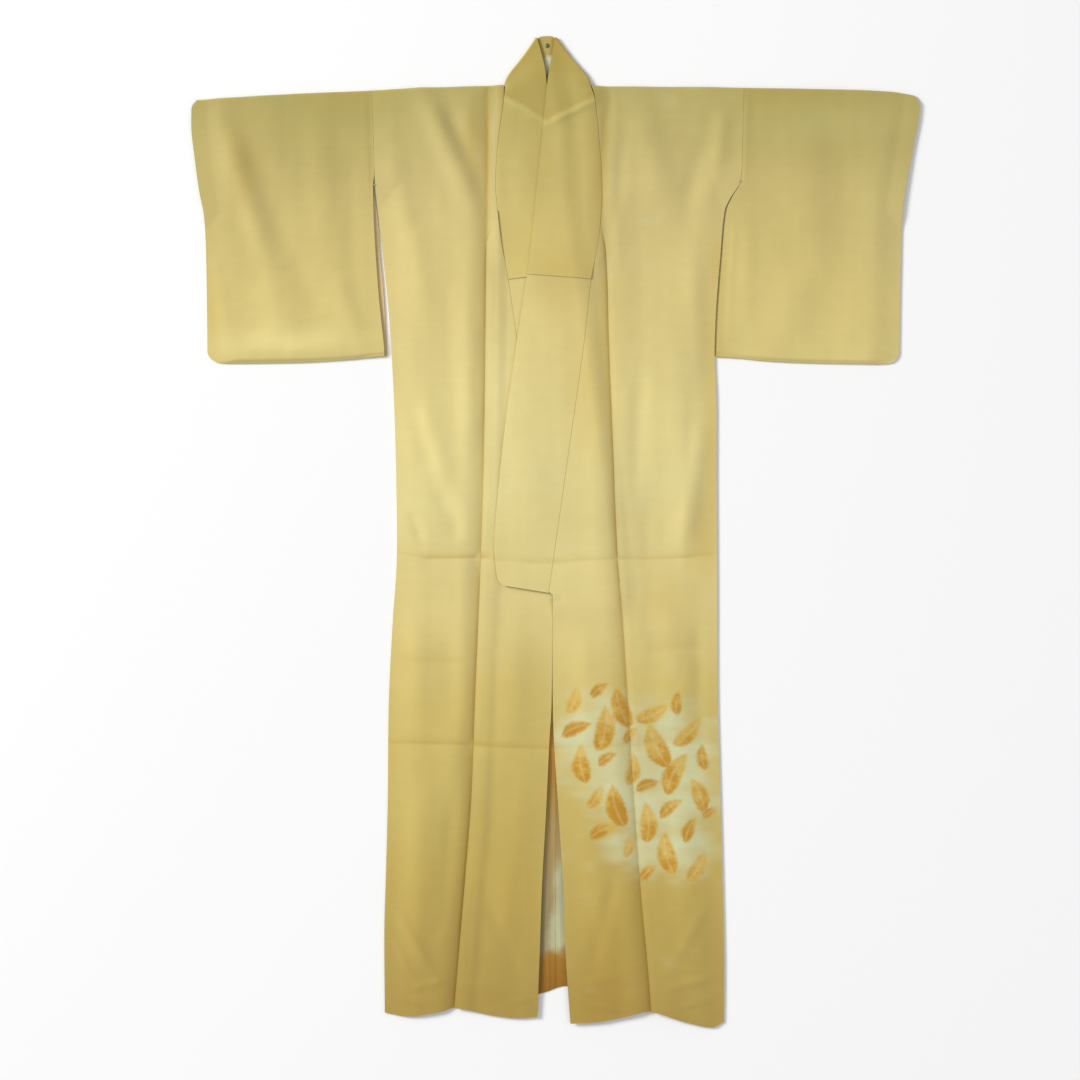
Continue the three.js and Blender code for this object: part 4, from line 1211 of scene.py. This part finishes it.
class KIMONO_OT_sleeves(PieceOperator, bpy.types.Operator):
    """Both sleeves: flat tubes folded at the top, with rounded lower corners"""
    bl_idname = "kimono.sleeves"
    bl_label = "Sleeves"

    def execute(self, context):
        self.sleeve("sleeve_right", SLEEVE_OUTER_RIGHT, SLEEVE_INNER_RIGHT, SLEEVE_BACK_INNER_RIGHT)
        self.sleeve("sleeve_left", SLEEVE_OUTER_LEFT, SLEEVE_INNER_LEFT, SLEEVE_BACK_INNER_LEFT)
        return {"FINISHED"}

    def sleeve(self, name, *edges):
        """One sleeve from its outer edge and the inner edges of its front and its back."""
        outer, inner, inner_back = (curve(rows) for rows in edges)
        bottom = curve(SLEEVE_BOTTOM)
        out = 1 if outer(0.5) > 0 else -1

        def rounded(y):
            rise = clamp(y - SLEEVE_FOOT, 0, SLEEVE_CORNER)
            return outer(y) - out * (
                SLEEVE_CORNER - np.sqrt(SLEEVE_CORNER ** 2 - (SLEEVE_CORNER - rise) ** 2))

        def front_z(x, y):
            from_edge = np.minimum(np.abs(x - rounded(y)), 7 * np.abs(y - bottom(x)) + 0.016)
            opened = 0.6 * smooth(y - SLEEVE_TOP + WRIST_OPENING, -0.02, 0.02)
            roll = np.maximum(smooth(from_edge, -0.006, 0.056), opened)
            lined = np.where(y < 0.612, 1 - smooth(np.abs(x - inner(y)), 0.020, 0.060), 0)
            high = lerp(RIM_HEIGHT, front_height(x, y, 0), roll)
            return np.maximum(high, RIM_HEIGHT + lined * LINING_CLEAR)

        step = bpy.context.scene.kimono.grid_step
        corner = SLEEVE_FOOT + SLEEVE_CORNER * (1 - np.cos(np.linspace(0, math.pi / 2, 12)))
        above = spaced(SLEEVE_FOOT + SLEEVE_CORNER + step, SLEEVE_TOP, step, (SLEEVE_TOP,), reach=0.018)
        levels = np.array([*corner, *above])
        across = columns(SLEEVE_COLUMNS)
        front = sheet_points(levels, across, inner, rounded, bottom, shoulder, front_z)
        back = sheet_points(levels[::-1], across, inner_back, rounded, bottom, shoulder,
                            lambda x, y: BACK_HEIGHT)
        top_rows, top_outs = turn(front[-1], back[0], 1)
        foot_rows, foot_outs = turn(front[0], back[-1], -1)
        grid = np.concatenate([front, top_rows, back, foot_rows[::-1]])
        outs = np.concatenate([facing(front, UP), top_outs, facing(back, -UP), foot_outs[::-1]])
        piece = add_cloth(name, grid, outs, CLOTH, self.materials()["sleeve_crepe"],
                          ring=True, flip=out < 0)
        light_and_shade_attributes(piece)


class KIMONO_OT_collar(PieceOperator, bpy.types.Operator):
    """The main collar round the neck and the over-collar on its outer face"""
    bl_idname = "kimono.collar"
    bl_label = "Collar"

    def execute(self, context):
        materials = self.materials()
        grid, outs = collar_band()
        collar = add_cloth("collar", grid, outs, CLOTH, materials["outer_crepe"])
        collar_attributes(collar)
        middle = grid[:, grid.shape[1] // 2, 1]
        on_left = np.arange(len(middle)) > len(middle) / 2
        kept = middle > np.where(on_left, OVER_COLLAR_LEFT_END_Y, OVER_COLLAR_END_Y)
        over = grid[kept] + outs[kept] * SEWN_PITCH
        over_collar = add_cloth(
            "over_collar", over, outs[kept], CLOTH, materials["over_collar_crepe"])
        collar_attributes(over_collar)
        return {"FINISHED"}


class KIMONO_OT_linings(PieceOperator, bpy.types.Operator):
    """Linings where they show: in the front slit and at the right sleeve's inner opening"""
    bl_idname = "kimono.linings"
    bl_label = "Linings"

    def execute(self, context):
        materials = self.materials()
        lying = CLOTH + SEAM_GAP + LINING / 2
        hem = curve(HEM_BACK)

        def puckered(x, y):
            return lying + 0.12 * MM * (1 + cloth_noise(x, y, 0.006, 0.12, 31))

        levels = spaced(HEM_LEVEL, LINING_TOP, SKIRT_LINING_STEP)
        for side, sign in (("right", -1), ("left", 1)):
            grid = sheet_points(
                levels, np.linspace(0, 1, SKIRT_LINING_COLUMNS), always(sign * SEAM_GAP / 2),
                always(sign * LINING_REACH), lambda x: hem(x) + LINING_HEM_RISE, always(LINING_TOP),
                puckered)
            add_cloth(f"back_lining_{side}", grid, facing(grid, UP), LINING,
                      materials["skirt_lining_silk"],
                      flip=sign < 0)
        edge = curve(SLEEVE_BACK_INNER_RIGHT)
        levels = spaced(SLEEVE_LINING_FOOT, SLEEVE_LINING_TOP, SLEEVE_LINING_STEP)
        grid = sheet_points(
            levels, np.linspace(0, 1, SLEEVE_LINING_COLUMNS), lambda y: edge(y) - SLEEVE_LINING_WIDTH,
            lambda y: edge(y) - LINING_INSET, always(SLEEVE_LINING_FOOT), always(SLEEVE_LINING_TOP),
            lambda x, y: lying)
        add_cloth("sleeve_lining_right", grid, facing(grid, UP), LINING,
                  materials["sleeve_lining_silk"])
        return {"FINISHED"}


class KIMONO_OT_snap(PieceOperator, bpy.types.Operator):
    """Snap half on the inner face of the collar at the back of the neck"""
    bl_idname = "kimono.snap"
    bl_label = "Collar snap"

    # Turned profile: parts of the radius and of the height
    PROFILE = ((0, 0), (0.97, 0), (1, 0.08), (1, 0.3), (0.95, 0.42), (0.8, 0.52), (0.66, 0.5),
               (0.5, 0.56), (0.42, 0.62), (0.38, 0.88), (0.3, 0.97), (0, 1))
    SEGMENTS = 48

    def execute(self, context):
        low, high = (np.array(corner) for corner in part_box("collar_snap"))
        radius, height = (high[0] - low[0]) / 2, high[2] - low[2]
        centre = (low + high) / 2
        foot = BACK_HEIGHT + PITCH + CLOTH / 2 + SNAP_GAP
        vertices, rings = [], []
        for r, h in self.PROFILE:
            count = 1 if r == 0 else self.SEGMENTS
            rings.append(range(len(vertices), len(vertices) + count))
            for a in np.arange(count) * 2 * math.pi / count:
                vertices.append((centre[0] + r * radius * math.cos(a),
                                 centre[1] + r * radius * math.sin(a), foot + h * height))
        faces = []
        for lower, upper in zip(rings, rings[1:]):
            for i in range(self.SEGMENTS):
                j = (i + 1) % self.SEGMENTS
                if len(lower) == 1:
                    faces.append((lower[0], upper[j], upper[i]))
                elif len(upper) == 1:
                    faces.append((lower[i], lower[j], upper[0]))
                else:
                    faces.append((lower[i], lower[j], upper[j], upper[i]))
        add_piece("collar_snap_metal", vertices, faces, self.materials()["snap_steel"],
                  "collar_snap", SNAP_SMOOTH_BELOW)
        return {"FINISHED"}


def stitch_tree():
    """Geometry Nodes that lay short thread stitches along the lines of a path."""
    tree = bpy.data.node_groups.new("Hand stitches", "GeometryNodeTree")
    face = tree.interface
    face.new_socket("Path", in_out="INPUT", socket_type="NodeSocketGeometry")
    for name in ("Spacing", "Length", "Thread"):
        face.new_socket(name, in_out="INPUT", socket_type="NodeSocketFloat").subtype = "DISTANCE"
    face.new_socket("Silk", in_out="INPUT", socket_type="NodeSocketMaterial")
    face.new_socket("Stitches", in_out="OUTPUT", socket_type="NodeSocketGeometry")
    start, end = tree.nodes.new("NodeGroupInput"), tree.nodes.new("NodeGroupOutput")
    line = add_node(tree, "GeometryNodeMeshToCurve", {"Mesh": start.outputs["Path"]})
    points = add_node(tree, "GeometryNodeResampleCurve", {
        "Curve": line.outputs[0], "Length": start.outputs["Spacing"]}, mode="LENGTH")
    grain = add_node(tree, "GeometryNodeMeshUVSphere", {"Segments": 8, "Rings": 5, "Radius": 1.0})
    half = math_node(tree, "MULTIPLY", start.outputs["Length"], 0.5)
    size = add_node(tree, "ShaderNodeCombineXYZ", {
        0: half, 1: start.outputs["Thread"], 2: start.outputs["Thread"]})
    stitch = add_node(tree, "GeometryNodeTransform", {
        "Geometry": grain.outputs["Mesh"], "Scale": size.outputs[0]})
    tangent = add_node(tree, "GeometryNodeInputTangent")
    along = add_node(tree, "FunctionNodeAlignRotationToVector", {"Vector": tangent.outputs[0]},
                     axis="X")
    placed = add_node(tree, "GeometryNodeInstanceOnPoints", {
        "Points": points.outputs[0], "Instance": stitch.outputs[0], "Rotation": along.outputs[0]})
    solid = add_node(tree, "GeometryNodeRealizeInstances", {0: placed.outputs[0]})
    silk = add_node(tree, "GeometryNodeSetMaterial", {
        "Geometry": solid.outputs[0], "Material": start.outputs["Silk"]})
    tree.links.new(silk.outputs[0], end.inputs[0])
    return tree


class KIMONO_OT_stitches(PieceOperator, bpy.types.Operator):
    """Stitches along the collar's ends, and thread bars at the ends of the armhole openings"""
    bl_idname = "kimono.stitches"
    bl_label = "Hand stitches"

    STITCH_THREAD = 0.3 * MM
    # Length of a stitch as a part of its spacing
    STITCH_PART = 0.4
    # Ends of the armhole openings: the two pieces, place X, height Y
    BARS = (("sleeve_right", "body_right", -323.5, 618), ("sleeve_left", "body_left", 329, 624))
    BAR_THREADS = 3
    BAR_LENGTH = 5 * MM
    BAR_PITCH = 0.9 * MM
    BAR_SPACING = 1.2 * MM
    BAR_STITCH = 1.8 * MM
    BAR_THREAD = 0.4 * MM
    # How near to the end of a bar the cloth's height is looked up
    NEAR = 6 * MM

    def execute(self, context):
        silk = self.materials()["outer_crepe"]
        tree = stitch_tree()
        over, collar = SURFACES["over_collar"], SURFACES["collar"]
        ends = [row[2:-2] for row in (over[1], over[-2], collar[-5])]
        spacing = context.scene.kimono.stitch_spacing
        self.sewn(tree, "collar_stitches_thread", ends, "collar_silk", Silk=silk,
                  Spacing=spacing, Length=self.STITCH_PART * spacing, Thread=self.STITCH_THREAD)
        bars = [path for bar in self.BARS for path in self.bar(*bar)]
        self.sewn(tree, "opening_bars_thread", bars, "silk", Silk=silk,
                  Spacing=self.BAR_SPACING, Length=self.BAR_STITCH, Thread=self.BAR_THREAD)
        return {"FINISHED"}

    def bar(self, first, second, x, y):
        """Threads side by side across the end of an opening, on the higher of its two pieces."""
        for i in range(self.BAR_THREADS):
            level = y * MM + (i - 1) * self.BAR_PITCH
            ends = np.array([[x * MM + side * self.BAR_LENGTH / 2, level] for side in (-1, 1)])
            high = max(self.height(name, end) for name in (first, second) for end in ends)
            yield np.c_[ends, [high, high]]

    def height(self, name, place):
        """Highest point of a piece near a place."""
        points = SURFACES[name].reshape(-1, 3)
        near = np.hypot(*(points[:, :2] - place).T) < self.NEAR
        return points[near, 2].max()

    @staticmethod
    def sewn(tree, name, paths, slot, **values):
        """Plain mesh of the stitches along the paths, which the node tree makes."""
        vertices, edges = [], []
        for path in paths:
            edges += [(len(vertices) + i, len(vertices) + i + 1) for i in range(len(path) - 1)]
            vertices += path.tolist()
        lines = bpy.data.meshes.new(f"{name}_path")
        lines.from_pydata(vertices, edges, [])
        holder = bpy.data.objects.new(f"{name}_path", lines)
        bpy.context.scene.collection.objects.link(holder)
        modifier = holder.modifiers.new("Stitches", "NODES")
        modifier.node_group = tree
        for socket in tree.interface.items_tree:
            if socket.in_out == "INPUT" and socket.name in values:
                modifier[socket.identifier] = values[socket.name]
        ready = holder.evaluated_get(bpy.context.evaluated_depsgraph_get())
        mesh = bpy.data.meshes.new_from_object(ready)
        holder.modifiers.remove(modifier)
        bpy.data.objects.remove(holder)
        mesh.name = name
        add_object(name, mesh)


class KIMONO_OT_stage(bpy.types.Operator):
    """Pale floor, soft light from the upper left and a camera straight above"""
    bl_idname = "kimono.stage"
    bl_label = "Stage"

    VIEW_CENTRE = (-27.8 * MM, -14.2 * MM)
    VIEW_WIDTH = 1.922
    # Height of the middle of the cloth, which the view's width is measured at
    VIEW_LEVEL = 0.006
    LENS = 85.0
    SENSOR = 36.0
    CLIP_END = 50
    FLOOR_REACH = 12.0
    FLOOR_COLOUR = (0.86, 0.86, 0.86, 1)
    FLOOR_ROUGHNESS = 0.9
    WORLD_STRENGTH = 0.55
    # Soft lights that look at the middle of the floor: name, place, size, power
    LIGHTS = (("key", (-12.6, 5.8, 7.2), 5.2, 2700), ("fill", (2.6, -1.2, 3.0), 2.4, 14))

    def execute(self, context):
        scene = context.scene
        scene.view_settings.view_transform = "Standard"
        floor = bpy.data.meshes.new("floor")
        corners = ((-1, -1), (1, -1), (1, 1), (-1, 1))
        floor.from_pydata([(self.FLOOR_REACH * x, self.FLOOR_REACH * y, 0) for x, y in corners], [],
                          [(0, 1, 2, 3)])
        ground = bpy.data.objects.new("floor", floor)
        scene.collection.objects.link(ground)
        paper = bpy.data.materials.new("floor_paper")
        paper.use_nodes = True
        shader = paper.node_tree.nodes["Principled BSDF"]
        shader.inputs["Base Color"].default_value = self.FLOOR_COLOUR
        shader.inputs["Roughness"].default_value = self.FLOOR_ROUGHNESS
        floor.materials.append(paper)

        world = bpy.data.worlds.new("studio")
        world.use_nodes = True
        sky = world.node_tree.nodes["Background"]
        sky.inputs["Color"].default_value = (1, 1, 1, 1)
        sky.inputs["Strength"].default_value = self.WORLD_STRENGTH
        scene.world = world
        for light in self.LIGHTS:
            self.softbox(*light)

        camera = bpy.data.cameras.new("camera")
        camera.lens, camera.sensor_width = self.LENS, self.SENSOR
        camera.clip_end = self.CLIP_END
        eye = bpy.data.objects.new("camera", camera)
        distance = self.VIEW_WIDTH * self.LENS / self.SENSOR
        eye.location = (*self.VIEW_CENTRE, distance + self.VIEW_LEVEL)
        scene.collection.objects.link(eye)
        scene.camera = eye
        return {"FINISHED"}

    @staticmethod
    def softbox(name, place, size, power):
        light = bpy.data.lights.new(name, "AREA")
        light.shape, light.size, light.energy = "DISK", size, power
        lamp = bpy.data.objects.new(name, light)
        lamp.location = place
        lamp.rotation_euler = (-Vector(place)).to_track_quat("-Z", "Y").to_euler()
        bpy.context.scene.collection.objects.link(lamp)


STEPS = (KIMONO_OT_stage, KIMONO_OT_body, KIMONO_OT_okumi, KIMONO_OT_sleeves, KIMONO_OT_collar,
         KIMONO_OT_linings, KIMONO_OT_snap, KIMONO_OT_stitches)


class KIMONO_PT_panel(bpy.types.Panel):
    """Lists the steps that build the laid kimono"""
    bl_idname = "KIMONO_PT_panel"
    bl_label = "Laid kimono"
    bl_space_type = "VIEW_3D"
    bl_region_type = "UI"
    bl_category = "Kimono"

    def draw(self, context):
        for name in KimonoSizes.__annotations__:
            self.layout.prop(context.scene.kimono, name)
        for step in STEPS:
            self.layout.operator(step.bl_idname)


def register():
    for cls in (KimonoSizes, *STEPS, KIMONO_PT_panel):
        bpy.utils.register_class(cls)
    bpy.types.Scene.kimono = PointerProperty(type=KimonoSizes)


def unregister():
    del bpy.types.Scene.kimono
    for cls in (KIMONO_PT_panel, *reversed(STEPS), KimonoSizes):
        bpy.utils.unregister_class(cls)


def main():
    register()
    for step in STEPS:
        group, name = step.bl_idname.split(".")
        getattr(getattr(bpy.ops, group), name)()


if __name__ == "__main__":
    main()
